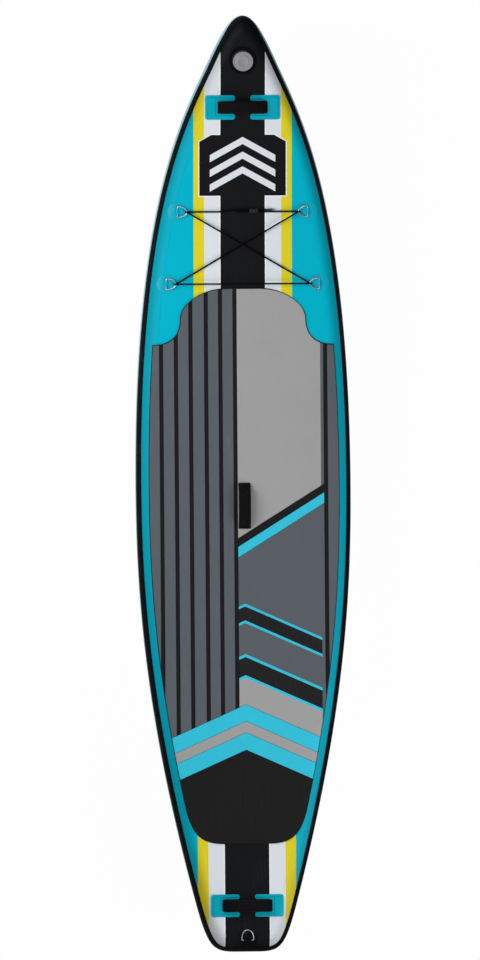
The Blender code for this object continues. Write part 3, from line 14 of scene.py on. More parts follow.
import bmesh
import bpy
import numpy as np
from bmesh.types import BMesh
from bpy.types import Material, Node, NodeSocket, NodeTree, Object
from mathutils import Matrix, Vector
from mathutils.bvhtree import BVHTree


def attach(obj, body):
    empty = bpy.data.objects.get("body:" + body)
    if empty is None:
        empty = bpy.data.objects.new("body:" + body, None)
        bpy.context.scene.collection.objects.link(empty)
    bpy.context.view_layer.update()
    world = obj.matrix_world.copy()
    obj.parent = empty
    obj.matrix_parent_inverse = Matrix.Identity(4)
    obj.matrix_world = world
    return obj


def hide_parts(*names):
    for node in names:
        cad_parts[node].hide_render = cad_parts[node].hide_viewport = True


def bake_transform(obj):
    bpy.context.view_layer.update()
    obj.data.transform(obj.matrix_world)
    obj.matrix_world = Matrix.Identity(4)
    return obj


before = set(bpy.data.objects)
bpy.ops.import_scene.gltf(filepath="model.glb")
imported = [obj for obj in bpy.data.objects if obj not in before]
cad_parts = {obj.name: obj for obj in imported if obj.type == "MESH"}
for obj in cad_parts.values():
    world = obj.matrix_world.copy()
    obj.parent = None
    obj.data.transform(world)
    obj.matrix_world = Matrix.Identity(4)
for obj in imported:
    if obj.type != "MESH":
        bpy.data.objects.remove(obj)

Colour = tuple[float, float, float]
Place = tuple[float, float, float]
Flat = tuple[float, float]
Numbers = tuple[float, ...]
Rings = list[list[Place]]
Sockets = Mapping[str, NodeSocket]
Paint = Colour | NodeSocket

log = logging.getLogger("board")
WELD = 1e-6


def srgb(red: int, green: int, blue: int) -> Colour:
    """The linear colour of a display colour given from 0 to 255."""
    shares = [value / 255 for value in (red, green, blue)]
    return tuple(s / 12.92 if s <= 0.04045 else ((s + 0.055) / 1.055) ** 2.4 for s in shares)


TURQUOISE_COLOUR = srgb(0, 180, 205)
BLUE_COLOUR = srgb(53, 196, 223)
GREY_COLOUR = srgb(162, 162, 163)
INK_COLOUR = srgb(30, 30, 31)
SLATE_COLOUR = srgb(90, 96, 102)
WHITE_COLOUR = srgb(222, 228, 234)
BLACK_COLOUR = srgb(18, 19, 22)
EDGING_COLOUR = srgb(246, 248, 250)


class Slot(Enum):
    """The record's material slots, which each finish names."""

    TURQUOISE = "pvc_turquoise"
    WHITE = "pvc_white"
    BLACK = "pvc_black"
    NYLON = "nylon_black"
    NYLON_GREY = "nylon_grey"
    SILVER = "nylon_silver"
    STEEL = "stainless_steel"
    WEBBING = "webbing_black"
    NEOPRENE = "neoprene_black"
    BUNGEE = "bungee_black"
    FOAM_BLACK = "foam_black"
    FOAM_SLATE = "foam_slate"
    FOAM_GREY = "foam_grey"
    FOAM_BLUE = "foam_blue"
    FIN = "fin_black"


class Run(Enum):
    """Which way a handle's webbing runs, as the number of its axis."""

    ACROSS = 0
    ALONG = 1


# Node trees


def rgba(colour: Paint) -> Numbers | NodeSocket:
    """A colour as a colour socket takes it."""
    return colour if isinstance(colour, NodeSocket) else (*colour, 1.0)


class Wires:
    """A node tree with short calls that add nodes and join them."""

    def __init__(self, tree: NodeTree) -> None:
        """Keeps the tree that the calls work on."""
        self.tree = tree

    @classmethod
    def emptied(cls, owner: bpy.types.World | Material) -> "Wires":
        """The tree of a world or material, with nothing in it."""
        owner.use_nodes = True
        owner.node_tree.nodes.clear()
        return cls(owner.node_tree)

    def add(self, kind: str, inputs: dict[str | int, object] | None = None, **settings: object) -> Node:
        """Adds a node.

        Args:
            kind: The node's type name.
            inputs: Values or sockets for its inputs, by name or place.
            settings: The node's own settings.

        Returns:
            The new node.
        """
        node = self.tree.nodes.new(kind)
        for key, value in settings.items():
            setattr(node, key, value)
        self.fill(node, inputs or {})
        return node

    def first(
        self, kind: str, inputs: dict[str | int, object] | None = None, **settings: object
    ) -> NodeSocket:
        """Adds a node and gives its first output. See add."""
        return self.add(kind, inputs, **settings).outputs[0]

    def fill(self, node: Node, inputs: dict[str | int, object]) -> None:
        """Sets or joins a node's inputs."""
        for key, value in inputs.items():
            if isinstance(value, NodeSocket):
                self.tree.links.new(value, node.inputs[key])
            else:
                node.inputs[key].default_value = value

    def math(self, operation: str, *values: float | NodeSocket, clamp: bool = False) -> NodeSocket:
        """The result of a math node on one, two or three values."""
        return self.first("ShaderNodeMath", dict(enumerate(values)), operation=operation, use_clamp=clamp)

    def product(self, *factors: float | NodeSocket) -> NodeSocket:
        """The product of two or more values."""
        return reduce(lambda first, second: self.math("MULTIPLY", first, second), factors)

    def scaled(self, value: NodeSocket, factor: float | NodeSocket, shift: float | NodeSocket) -> NodeSocket:
        """A value times a factor, plus a shift."""
        return self.math("MULTIPLY_ADD", value, factor, shift)

    def noise(
        self, place: NodeSocket, scale: float | NodeSocket, detail: float, roughness: float = 0.5
    ) -> NodeSocket:
        """Noise from 0 to 1."""
        inputs = {"Vector": place, "Scale": scale, "Detail": detail, "Roughness": roughness}
        return self.first("ShaderNodeTexNoise", inputs)

    def mix(self, share: NodeSocket, first: Paint, second: Paint) -> NodeSocket:
        """A colour that goes from first to second as share goes from 0 to 1."""
        inputs = {0: share, 6: rgba(first), 7: rgba(second)}
        return self.add("ShaderNodeMix", inputs, data_type="RGBA").outputs[2]

    def times(self, colour: Paint, shade: NodeSocket) -> NodeSocket:
        """A colour made lighter or darker by a factor."""
        grey = self.first("ShaderNodeCombineColor", {0: shade, 1: shade, 2: shade})
        inputs = {0: 1.0, 6: rgba(colour), 7: grey}
        return self.add("ShaderNodeMix", inputs, data_type="RGBA", blend_type="MULTIPLY").outputs[2]

    def span(
        self, value: NodeSocket, start: float, end: float, low: float = 0.0, high: float = 1.0
    ) -> NodeSocket:
        """A value mapped from the range start to end onto the range low to high, and clamped there."""
        inputs = {"Value": value, "From Min": start, "From Max": end, "To Min": low, "To Max": high}
        return self.add("ShaderNodeMapRange", inputs).outputs["Result"]

    def inside(self, value: NodeSocket, low: float, high: float) -> NodeSocket:
        """One where a value lies between two others, and zero elsewhere."""
        return self.product(self.math("GREATER_THAN", value, low), self.math("LESS_THAN", value, high))

    def split(self, vector: NodeSocket) -> tuple[NodeSocket, NodeSocket, NodeSocket]:
        """The three parts of a vector."""
        return tuple(self.add("ShaderNodeSeparateXYZ", {0: vector}).outputs)

    def object_place(self) -> NodeSocket:
        """The surface's place in the object's own metres."""
        return self.add("ShaderNodeTexCoord").outputs["Object"]

    def attribute(self, name: str) -> Node:
        """The node that reads a mesh attribute."""
        return self.add("ShaderNodeAttribute", attribute_name=name, attribute_type="GEOMETRY")


class Effect:
    """A shader node group that several finishes share. A triple among its inputs makes a vector socket."""

    name = "effect"
    inputs: dict[str, object] = {}
    outputs: tuple[str, ...] = ()

    def paint(self, wires: Wires, given: Sockets) -> Sockets:
        """Builds what the group puts out. Each effect has its own."""
        raise NotImplementedError

    @cached_property
    def tree(self) -> NodeTree:
        """The group, built at its first use."""
        tree = bpy.data.node_groups.new(self.name, "ShaderNodeTree")
        for name, value in self.inputs.items():
            kind = "NodeSocketVector" if isinstance(value, tuple) else "NodeSocketFloat"
            tree.interface.new_socket(name=name, in_out="INPUT", socket_type=kind).default_value = value
        for name in self.outputs:
            tree.interface.new_socket(name=name, in_out="OUTPUT", socket_type="NodeSocketFloat")
        wires = Wires(tree)
        wires.add("NodeGroupOutput", self.paint(wires, wires.add("NodeGroupInput").outputs))
        return tree

    def use(self, wires: Wires, **values: object) -> Node:
        """Places the group in a material, with that material's own values."""
        inputs = {name.title(): value for name, value in values.items()}
        return wires.add("ShaderNodeGroup", inputs, node_tree=self.tree)


class Grain(Effect):
    """Fine unevenness of a moulded or coated surface."""

    name = "surface_grain"
    inputs = {"Place": (0.0, 0.0, 0.0), "Scale": 400.0, "Depth": 0.0001, "Spread": 0.05}
    outputs = ("Height", "Tone")
    detail = 3.0
    roughness = 0.6

    def paint(self, wires: Wires, given: Sockets) -> Sockets:
        """Noise as a height in metres, and as a tone near one."""
        noise = wires.noise(given["Place"], given["Scale"], self.detail, self.roughness)
        tone = wires.scaled(wires.math("SUBTRACT", noise, 0.5), given["Spread"], 1.0)
        return {"Height": wires.product(noise, given["Depth"]), "Tone": tone}


class Scuffs(Effect):
    """Light rubbing and dust from use on a beach."""

    name = "scuffs"
    inputs = {"Place": (0.0, 0.0, 0.0), "Scale": 9.0, "Amount": 0.3}
    outputs = ("Mask", "Rub")
    streak = (14.0, 1.2, 6.0)
    patch_detail, patch_span = 4.0, (0.45, 0.75)
    line_detail, line_span = 6.0, (0.52, 0.70)

    def paint(self, wires: Wires, given: Sockets) -> Sockets:
        """Broad soft patches, broken up by fine long streaks."""
        place, scale, amount = given["Place"], given["Scale"], given["Amount"]
        stretched = wires.first("ShaderNodeMapping", {"Vector": place, "Scale": self.streak})
        patches = wires.span(wires.noise(place, scale, self.patch_detail), *self.patch_span)
        lines = wires.span(wires.noise(stretched, scale, self.line_detail), *self.line_span)
        mask = wires.math("MULTIPLY", wires.product(patches, lines), amount, clamp=True)
        return {"Mask": mask, "Rub": wires.product(patches, amount)}


class Dimples(Effect):
    """The faint regular dimples where drop-stitch threads pull on a coated sheet."""

    name = "thread_dimples"
    inputs = {"Place": (0.0, 0.0, 0.0), "Pitch": 0.006, "Depth": 0.00002}
    outputs = ("Height",)

    def paint(self, wires: Wires, given: Sockets) -> Sockets:
        """A product of two waves across and along the board."""
        x, y, _ = wires.split(given["Place"])
        turn = wires.math("DIVIDE", 2 * math.pi, given["Pitch"])
        waves = [wires.math("SINE", wires.product(part, turn)) for part in (x, y)]
        return {"Height": wires.product(*waves, given["Depth"])}


class Weave(Effect):
    """Ribbed webbing: bars across the tape that shift by half a step from cord to cord."""

    name = "webbing_weave"
    inputs = {"Across": 0.0, "Along": 0.0, "Pitch": 0.0022, "Depth": 0.0002}
    outputs = ("Height", "Shade")
    # painted shade: the colour's factor per unit of relief, and its value in the hollows
    painted_shades = (0.5, 0.6)

    def paint(self, wires: Wires, given: Sockets) -> Sockets:
        """Two waves whose phase steps between neighbouring cords, with painted shade: the hollows darker and
        the rib tops lighter.
        """
        column = wires.math("DIVIDE", given["Across"], given["Pitch"])
        step = wires.product(wires.math("FLOOR", column), math.pi)
        phase = wires.scaled(wires.math("DIVIDE", given["Along"], given["Pitch"]), 2 * math.pi, step)
        bars = wires.scaled(wires.math("SINE", phase), 0.5, 0.5)
        cords = wires.math("ABSOLUTE", wires.math("SINE", wires.product(column, math.pi)))
        relief = wires.product(bars, cords)
        shade = wires.scaled(relief, *self.painted_shades)
        return {"Height": wires.product(relief, given["Depth"]), "Shade": shade}


class Plait(Effect):
    """The braided cover of a round cord."""

    name = "cord_plait"
    inputs = {"Along": 0.0, "Angle": 0.0, "Pitch": 0.006, "Depth": 0.0003}
    outputs = ("Height", "Shade")
    strands = 6.0
    # painted shade: the colour's factor per unit of relief, and its value between the strands
    painted_shades = (0.6, 0.6)

    def paint(self, wires: Wires, given: Sockets) -> Sockets:
        """Two spirals that cross each other, six strands each way, with painted shade: darker between the
        strands, lighter on their crowns.
        """
        forward = wires.product(given["Along"], wires.math("DIVIDE", 2 * math.pi, given["Pitch"]))
        spin = wires.product(given["Angle"], self.strands)
        spirals = [wires.math("SINE", wires.math(way, forward, spin)) for way in ("ADD", "SUBTRACT")]
        relief = wires.math("ABSOLUTE", wires.product(*spirals))
        shade = wires.scaled(relief, *self.painted_shades)
        return {"Height": wires.product(relief, given["Depth"]), "Shade": shade}


GRAIN, SCUFFS, DIMPLES, WEAVE, PLAIT = Grain(), Scuffs(), Dimples(), Weave(), Plait()


# Finishes


@dataclass(frozen=True)
class Finish:
    """A plain moulded or cast surface with fine grain and light scuffs. Other finishes build on it."""

    name: str
    colour: Colour
    roughness: float = 0.5
    specular: float = 0.3
    metallic: float = 0.0
    coat: float = 0.0
    grain_scale: float = 900.0
    grain_depth: float = 0.00002
    grain_spread: float = 0.05
    broad_scale: float = 0.0
    broad_spread: float = 0.0
    coat_roughness: float = 0.12
    rub_roughness: float = 0.25
    scuffing: float = 0.25
    scuffed: Colour = (0.45, 0.45, 0.45)
    slot: Slot = Slot.NYLON

    def material(self) -> Material:
        """The finish as a material, built at its first use."""
        made = bpy.data.materials.get(self.name)
        if made:
            return made
        made = bpy.data.materials.new(self.name)
        made.use_nodes = True
        wires = Wires(made.node_tree)
        place = wires.object_place()
        colour, height, rough = self.surface(wires, place)
        rub = SCUFFS.use(wires, place=place, amount=self.scuffing)
        inputs = {
            "Base Color": wires.mix(rub.outputs["Mask"], colour, self.scuffed),
            "Roughness": wires.math(
                "MULTIPLY_ADD", rub.outputs["Rub"], self.rub_roughness, rough, clamp=True
            ),
            "Normal": wires.first("ShaderNodeBump", {"Distance": 1.0, "Height": height}),
            "Specular IOR Level": self.specular,
            "Metallic": self.metallic,
            "Coat Weight": self.coat,
            "Coat Roughness": self.coat_roughness,
        }
        wires.fill(made.node_tree.nodes["Principled BSDF"], inputs)
        return made

    def surface(self, wires: Wires, place: NodeSocket) -> tuple[NodeSocket, NodeSocket, NodeSocket]:
        """What the finish shows before scuffs.

        Args:
            wires: The material's tree.
            place: Object coordinates.

        Returns:
            The colour, the height in metres and the roughness.
        """
        grain = GRAIN.use(
            wires, place=place, scale=self.grain_scale, depth=self.grain_depth, spread=self.grain_spread
        ).outputs
        colour, height = self.base(wires, place), grain["Height"]
        relief = self.relief(wires, place)
        if relief:
            # painted shade from the relief darkens the colour
            colour = wires.times(colour, relief["Shade"])
            height = wires.math("ADD", relief["Height"], height)
        if self.broad_spread:
            broad = GRAIN.use(wires, place=place, scale=self.broad_scale, depth=0.0, spread=self.broad_spread)
            colour = wires.times(colour, broad.outputs["Tone"])
        rough = wires.math("MULTIPLY", grain["Tone"], self.roughness, clamp=True)
        return wires.times(colour, grain["Tone"]), height, rough

    def base(self, wires: Wires, place: NodeSocket) -> Paint:
        """The colour before any variation."""
        return self.colour

    def relief(self, wires: Wires, place: NodeSocket) -> Sockets | None:
        """What comes on top of the grain: a height in metres, and a painted shade that multiplies the colour.
        """
        return None


@dataclass(frozen=True)
class CoatedSheet(Finish):
    """Coated hull fabric over drop-stitch threads."""

    grain_spread: float = 0.06
    broad_scale: float = 2.5
    broad_spread: float = 0.10
    pitch: float = 0.0065
    dimple: float = 0.000012
    # painted shade: how much darker the rail's colour is painted where it turns down
    painted_rail_shade: float = 0.28

    def relief(self, wires: Wires, place: NodeSocket) -> Sockets:
        """Thread dimples, and painted shade: the colour darkens where the rail turns down."""
        dimples = DIMPLES.use(wires, place=place, pitch=self.pitch, depth=self.dimple)
        shade = wires.scaled(wires.attribute("painted_shade_share").outputs["Fac"], -self.painted_rail_shade, 1.0)
        return {"Height": dimples.outputs["Height"], "Shade": shade}


@dataclass(frozen=True)
class PrintedSheet(CoatedSheet):
    """The deck's printed stripes: black in the middle, then white, then yellow, on turquoise."""

    yellow: Colour = srgb(225, 210, 40)
    yellow_half: float = 0.168
    white_half: float = 0.132
    edging_half: float = 0.079
    black_half: float = 0.076
    field: tuple[float, float, float, float] = (0.986, 1.193, 1.252, 0.148)
    rim: float = 0.003
    mark_half: float = 0.112
    mark_slope: float = 0.55
    mark_wide: float = 0.024
    marks: Numbers = (1.062, 1.112, 1.162)

    def base(self, wires: Wires, place: NodeSocket) -> Paint:
        """The stripes, and a black field with plain white chevrons ahead of the lacing."""
        x, y, _ = wires.split(place)
        side = wires.math("ABSOLUTE", x)
        halves = (self.yellow_half, self.white_half, self.edging_half, self.black_half)
        colour = self.colour
        for half, shade in zip(halves, (self.yellow, WHITE_COLOUR, EDGING_COLOUR, BLACK_COLOUR)):
            colour = wires.mix(wires.math("LESS_THAN", side, half), colour, shade)
        slanted = wires.scaled(side, self.mark_slope, y)
        low, high, corner, half = self.field
        for grown, start, shade in ((self.rim, self.black_half, EDGING_COLOUR), (0.0, -1.0, BLACK_COLOUR)):
            beside = wires.inside(side, start, half + grown)
            behind = wires.math("LESS_THAN", slanted, corner + grown)
            area = wires.product(beside, behind, wires.inside(y, low - grown, high + grown))
            colour = wires.mix(area, colour, shade)
        for start in self.marks:
            stroke = wires.inside(slanted, start, start + self.mark_wide)
            inner = wires.math("LESS_THAN", side, self.mark_half)
            colour = wires.mix(wires.product(stroke, inner), colour, WHITE_COLOUR)
        return colour


@dataclass(frozen=True)
class FoamSheet(Finish):
    """Closed-cell deck foam with a pressed diamond pattern and fine pores."""

    grain_spread: float = 0.22
    broad_scale: float = 6.0
    broad_spread: float = 0.12
    pitch: float = 0.0042
    groove: float = 0.00016
    groove_share: float = 0.35
    # painted shade: 0.91 of the colour down in the grooves, rising by 0.12 onto the flats
    groove_painted_shade: Flat = (0.12, 0.91)

    def relief(self, wires: Wires, place: NodeSocket) -> Sockets:
        """Diamonds from two slanted waves, with painted shade that darkens the pressed grooves."""
        x, y, _ = wires.split(place)
        slants = [wires.scaled(y, way, x) for way in (0.5, -0.5)]
        waves = [wires.math("SINE", wires.product(slant, math.pi / self.pitch)) for slant in slants]
        low = wires.math("MINIMUM", *(wires.math("ABSOLUTE", wave) for wave in waves))
        pressed = wires.span(low, 0.0, self.groove_share)
        shade = wires.scaled(pressed, *self.groove_painted_shade)
        return {"Height": wires.product(pressed, self.groove), "Shade": shade}


@dataclass(frozen=True)
class PrintedFoam(FoamSheet):
    """Deck foam with plain printed bars that run beside the chevrons behind it, and a plain side strip."""

    slope: float = 0.445
    bars: tuple[tuple[float, float, Colour], ...] = ()
    strip_from: float = 0.263
    strip: Colour = SLATE_COLOUR

    def base(self, wires: Wires, place: NodeSocket) -> Paint:
        """The bars, each between two distances along the board at its middle."""
        x, y, _ = wires.split(place)
        slanted = wires.scaled(wires.math("ABSOLUTE", x), self.slope, y)
        colour = self.colour
        for low, high, bar in self.bars:
            colour = wires.mix(wires.inside(slanted, low, high), colour, bar)
        return wires.mix(wires.math("GREATER_THAN", x, self.strip_from), colour, self.strip)


@dataclass(frozen=True)
class Tape(Finish):
    """Woven webbing, with its weave along the tape's own attributes."""

    grain_scale: float = 2500.0
    grain_depth: float = 0.00005
    grain_spread: float = 0.3
    pitch: float = 0.0024
    ribbing: float = 0.00025

    def relief(self, wires: Wires, place: NodeSocket) -> Sockets:
        """The weave."""
        across, along = (wires.attribute(name).outputs["Fac"] for name in ("across", "along"))
        return WEAVE.use(wires, across=across, along=along, pitch=self.pitch, depth=self.ribbing).outputs


@dataclass(frozen=True)
class BraidedCord(Finish):
    """The bungee's braided cover."""

    grain_scale: float = 2500.0
    grain_depth: float = 0.00003
    grain_spread: float = 0.2

    def relief(self, wires: Wires, place: NodeSocket) -> Sockets:
        """The plait round the cord's own attributes."""
        cos, sin, _ = wires.split(wires.attribute("around").outputs["Vector"])
        along = wires.attribute("along").outputs["Fac"]
        return PLAIT.use(wires, along=along, angle=wires.math("ARCTAN2", sin, cos)).outputs


REAR_BARS = (
    (-0.900, -0.662, GREY_COLOUR),
    (-0.662, -0.580, BLUE_COLOUR),
    (-0.652, -0.590, INK_COLOUR),
    (-0.474, -0.408, BLUE_COLOUR),
    (-0.465, -0.417, INK_COLOUR),
)

HULL_SLOT = {"slot": Slot.TURQUOISE}
GREY_FOAM = {"scuffing": 0.08, "scuffed": (0.25, 0.25, 0.25), "slot": Slot.FOAM_GREY}
TURQUOISE = CoatedSheet("turquoise_sheet", TURQUOISE_COLOUR, 0.30, 0.5, coat=1.0, scuffing=0.10, **HULL_SLOT)
PRINT = PrintedSheet("printed_deck", TURQUOISE_COLOUR, 0.45, 0.05, scuffing=0.015, **HULL_SLOT)
WHITE_SHEET = CoatedSheet(
    "white_sheet", srgb(226, 230, 233), 0.35, 0.4, coat=0.1, scuffing=0.35, slot=Slot.WHITE
)
BLACK_TAPE = CoatedSheet("black_tape", srgb(9, 10, 13), 0.5, 0.03, scuffing=0.06, dimple=0.0, slot=Slot.BLACK)
PATCH_SHEET = CoatedSheet(
    "patch_sheet", srgb(0, 166, 186), 0.36, 0.09, scuffing=0.04, dimple=0.0, **HULL_SLOT
)
RING_SHEET = CoatedSheet("ring_sheet", srgb(4, 172, 196), 0.34, 0.13, scuffing=0.03, dimple=0.0, **HULL_SLOT)
FOAM_BLACK = FoamSheet("black_foam", srgb(30, 30, 31), 0.92, 0.08, scuffing=0.01, slot=Slot.FOAM_BLACK)
FOAM_SLATE = FoamSheet("slate_foam", SLATE_COLOUR, 0.9, 0.15, scuffing=0.06, slot=Slot.FOAM_SLATE)
FOAM_GREY = FoamSheet("grey_foam", GREY_COLOUR, 0.9, 0.15, **GREY_FOAM)
FOAM_FIELD = PrintedFoam("field_foam", GREY_COLOUR, 0.9, 0.15, **GREY_FOAM)
FOAM_BLUE = FoamSheet("blue_foam", BLUE_COLOUR, 0.9, 0.15, scuffing=0.06, slot=Slot.FOAM_BLUE)
FOAM_PRINT = PrintedFoam(
    "printed_foam", SLATE_COLOUR, 0.9, 0.15, scuffing=0.02, bars=REAR_BARS, slot=Slot.FOAM_SLATE
)
WEBBING = Tape("black_webbing", srgb(24, 24, 26), 0.85, 0.12, scuffing=0.15, slot=Slot.WEBBING)
NEOPRENE = Finish(
    "black_neoprene", srgb(12, 12, 14), 0.8, 0.06, grain_scale=1600.0, grain_depth=0.00008, scuffing=0.03,
    slot=Slot.NEOPRENE,
)
THREAD = Finish("black_thread", srgb(40, 40, 42), 0.7, 0.3, grain_scale=3000.0, slot=Slot.NEOPRENE)
BUNGEE = BraidedCord("black_bungee", srgb(6, 6, 8), 0.8, 0.04, scuffing=0.05, slot=Slot.BUNGEE)
STEEL = Finish(
    "polished_steel", srgb(150, 154, 160), 0.2, 0.5, 1.0, grain_scale=700.0, scuffing=0.3, slot=Slot.STEEL
)
NYLON_BLACK = Finish("black_nylon", srgb(24, 24, 26), 0.45, 0.3)
NYLON_GREY = Finish("grey_nylon", srgb(28, 28, 30), 0.5, 0.15, scuffing=0.1, slot=Slot.NYLON_GREY)
NYLON_SILVER = Finish("silver_nylon", srgb(140, 140, 143), 0.38, 0.3, grain_depth=0.00004, slot=Slot.SILVER)
NYLON_WHITE = Finish("white_nylon", srgb(220, 220, 216), 0.4, 0.4)
RUBBER = Finish("black_rubber", srgb(26, 26, 28), 0.7, 0.2)
FIN_PLASTIC = Finish("black_fin", srgb(20, 20, 22), 0.28, 0.4, coat=0.2, scuffing=0.3, slot=Slot.FIN)
BRASS = Finish("plain_brass", srgb(196, 160, 92), 0.3, 0.5, metallic=1.0, scuffing=0.5)
CORE_CLOTH = Finish("core_cloth", srgb(215, 214, 205), 0.9, 0.2, grain_scale=1500.0, grain_depth=0.0002)

CARRIED_OVER = {
    "drop_stitch_core": CORE_CLOTH,
    "valve_body": NYLON_BLACK,
    "valve_nut": NYLON_BLACK,
    "valve_plunger": NYLON_WHITE,
    "valve_spring": STEEL,
    "valve_cap_seal": RUBBER,
    "cord_lock_button": NYLON_BLACK,
    "cord_lock_spring": STEEL,
    "fin_box": NYLON_BLACK,
    "fin_pin": BRASS,
    "fin_nut_plate": BRASS,
    "fin_screw": STEEL,
}


# Mesh making


def skin(rings: Rings, closed: bool = False, marks: dict[str, list[list[float]]] | None = None) -> BMesh:
    """A closed mesh over rings of points.

    Args:
        rings: Rings with the same number of points, in order. Points in one place are merged.
        closed: Whether the last ring meets the first one. Otherwise both ends are filled.
        marks: Point attributes by name, one value for each point of each ring.

    Returns:
        The mesh, with its faces outwards.
    """
    bm = bmesh.new()
    layers = {name: bm.verts.layers.float.new(name) for name in marks or {}}
    rows = [[bm.verts.new(p) for p in ring] for ring in rings]
    for name, layer in layers.items():
        for row, row_values in zip(rows, marks[name]):
            for vert, value in zip(row, row_values):
                vert[layer] = value
    for first, second in neighbours(rows, closed):
        for (a, d), (b, c) in neighbours(list(zip(first, second)), True):
            bm.faces.new((a, b, c, d))
    if not closed:
        bm.faces.new(list(reversed(rows[0])))
        bm.faces.new(rows[-1])
    return cleaned(bm)


def neighbours(items: Sequence, loop: bool) -> list[tuple]:
    """Each item with the next one, and the last with the first if they make a loop."""
    return list(zip(items, items[1:])) + ([(items[-1], items[0])] if loop else [])


def cleaned(bm: BMesh) -> BMesh:
    """The mesh with its doubles merged, stray edges gone and faces outwards."""
    bmesh.ops.remove_doubles(bm, verts=bm.verts, dist=WELD)
    bmesh.ops.dissolve_degenerate(bm, dist=WELD, edges=bm.edges)
    bmesh.ops.delete(bm, geom=[e for e in bm.edges if not e.link_faces], context="EDGES")
    bmesh.ops.triangulate(bm, faces=[f for f in bm.faces if len(f.verts) > 4])
    bmesh.ops.recalc_face_normals(bm, faces=bm.faces)
    if bm.calc_volume(signed=True) < 0:
        bmesh.ops.reverse_faces(bm, faces=bm.faces)
    return bm


def turned(profile: Sequence[Flat], sides: int = 72) -> BMesh:
    """A mesh turned about Z from a closed outline of (radius, height) points."""
    ways = circle(1.0, (0.0, 0.0), sides)
    return skin([[(r * x, r * y, z) for r, z in profile] for x, y in ways], closed=True)


def block(size: Place, centre: Place, bevel: float = 0.0, segments: int = 2) -> BMesh:
    """A box with rounded edges."""
    bm = bmesh.new()
    bmesh.ops.create_cube(bm, size=1.0)
    bmesh.ops.scale(bm, vec=size, verts=bm.verts)
    if bevel:
        bmesh.ops.bevel(bm, geom=list(bm.edges), offset=bevel, segments=segments, profile=0.5, affect="EDGES")
    bmesh.ops.translate(bm, vec=centre, verts=bm.verts)
    return bm


def rod(radius: float, centre: Place, direction: Place, length: float, sides: int = 32) -> BMesh:
    """A round rod through a point, along a direction."""
    bm = bmesh.new()
    turn = Vector((0, 0, 1)).rotation_difference(Vector(direction)).to_matrix().to_4x4()
    matrix = Matrix.Translation(centre) @ turn
    radii = {"radius1": radius, "radius2": radius}
    bmesh.ops.create_cone(bm, cap_ends=True, segments=sides, depth=length, matrix=matrix, **radii)
    return bm


def rounded(corners: Sequence[Flat], radii: Sequence[float], steps: int = 7) -> list[Flat]:
    """A polygon with its corners rounded, one radius for each corner."""
    done: list[Flat] = []
    for i, radius in enumerate(radii):
        here = Vector(corners[i])
        if radius <= 0:
            done.append(tuple(here))
            continue
        before = (Vector(corners[i - 1]) - here).normalized()
        after = (Vector(corners[(i + 1) % len(corners)]) - here).normalized()
        half = before.angle(after) / 2
        centre = here + (before + after).normalized() * radius / math.sin(half)
        start = here + before * radius / math.tan(half) - centre
        end = here + after * radius / math.tan(half) - centre
        sweep = start.angle_signed(end)
        done += [tuple(centre + Matrix.Rotation(-sweep * k / steps, 2) @ start) for k in range(steps + 1)]
    return done


def circle(radius: float, centre: Flat, sides: int = 64) -> list[Flat]:
    """Points of a circle in plan."""
    angles = [2 * math.pi * i / sides for i in range(sides)]
    return [(centre[0] + radius * math.cos(a), centre[1] + radius * math.sin(a)) for a in angles]


def arc(radius: float, start: float, end: float, steps: int) -> list[Flat]:
    """Points of an arc round the origin, between two angles in degrees."""
    return [(radius * math.cos(a), radius * math.sin(a)) for a in np.radians(np.linspace(start, end, steps))]


def as_object(name: str, bm: BMesh, *finishes: Finish, sharp: float = 35.0) -> Object:
    """A smooth-shaded object from a bmesh, with edges sharper than an angle kept sharp."""
    mesh = bpy.data.meshes.new(name)
    bm.to_mesh(mesh)
    bm.free()
    mesh.shade_smooth()
    mesh.set_sharp_from_angle(angle=math.radians(sharp))
    for finish in finishes:
        mesh.materials.append(finish.material())
    return linked(name, mesh)


def linked(name: str, data: bpy.types.ID) -> Object:
    """A new object in the scene."""
    thing = bpy.data.objects.new(name, data)
    bpy.context.scene.collection.objects.link(thing)
    return thing


def combined(target: BMesh, cutter: BMesh, operation: str) -> BMesh:
    """Two closed meshes joined, cut or crossed."""
    first, second = as_object("target", target), as_object("cutter", cutter)
    step = first.modifiers.new("step", "BOOLEAN")
    step.operation = operation
    step.solver = "EXACT"
    step.object = second
    result = baked(first)
    bm = bmesh.new()
    bm.from_mesh(result)
    bmesh.ops.remove_doubles(bm, verts=bm.verts, dist=WELD)
    bmesh.ops.dissolve_degenerate(bm, dist=WELD, edges=bm.edges)
    for thing in (first, second):
        bpy.data.objects.remove(thing, do_unlink=True)
    bpy.data.meshes.remove(result)
    return bm


def merged(target: BMesh, *others: BMesh) -> BMesh:
    """Several closed meshes in one."""
    for other in others:
        mesh = bpy.data.meshes.new("layer")
        other.to_mesh(mesh)
        other.free()
        target.from_mesh(mesh)
        bpy.data.meshes.remove(mesh)
    return target


def drilled(bm: BMesh, *cutters: BMesh) -> BMesh:
    """A mesh with others cut out of it, one after the other."""
    return reduce(lambda rest, cutter: combined(rest, cutter, "DIFFERENCE"), cutters, bm)


def baked(thing: Object) -> bpy.types.Mesh:
    """The mesh that an object gives through its modifiers."""
    graph = bpy.context.evaluated_depsgraph_get()
    graph.update()
    return bpy.data.meshes.new_from_object(thing.evaluated_get(graph))


def bisected(bm: BMesh, point: Place, away: Place, trim: bool = False) -> None:
    """Cuts along a plane, and removes the side that away points to if trim is set."""
    geometry = [*bm.verts, *bm.edges, *bm.faces]
    bmesh.ops.bisect_plane(bm, geom=geometry, dist=WELD, plane_co=point, plane_no=away, clear_outer=trim)


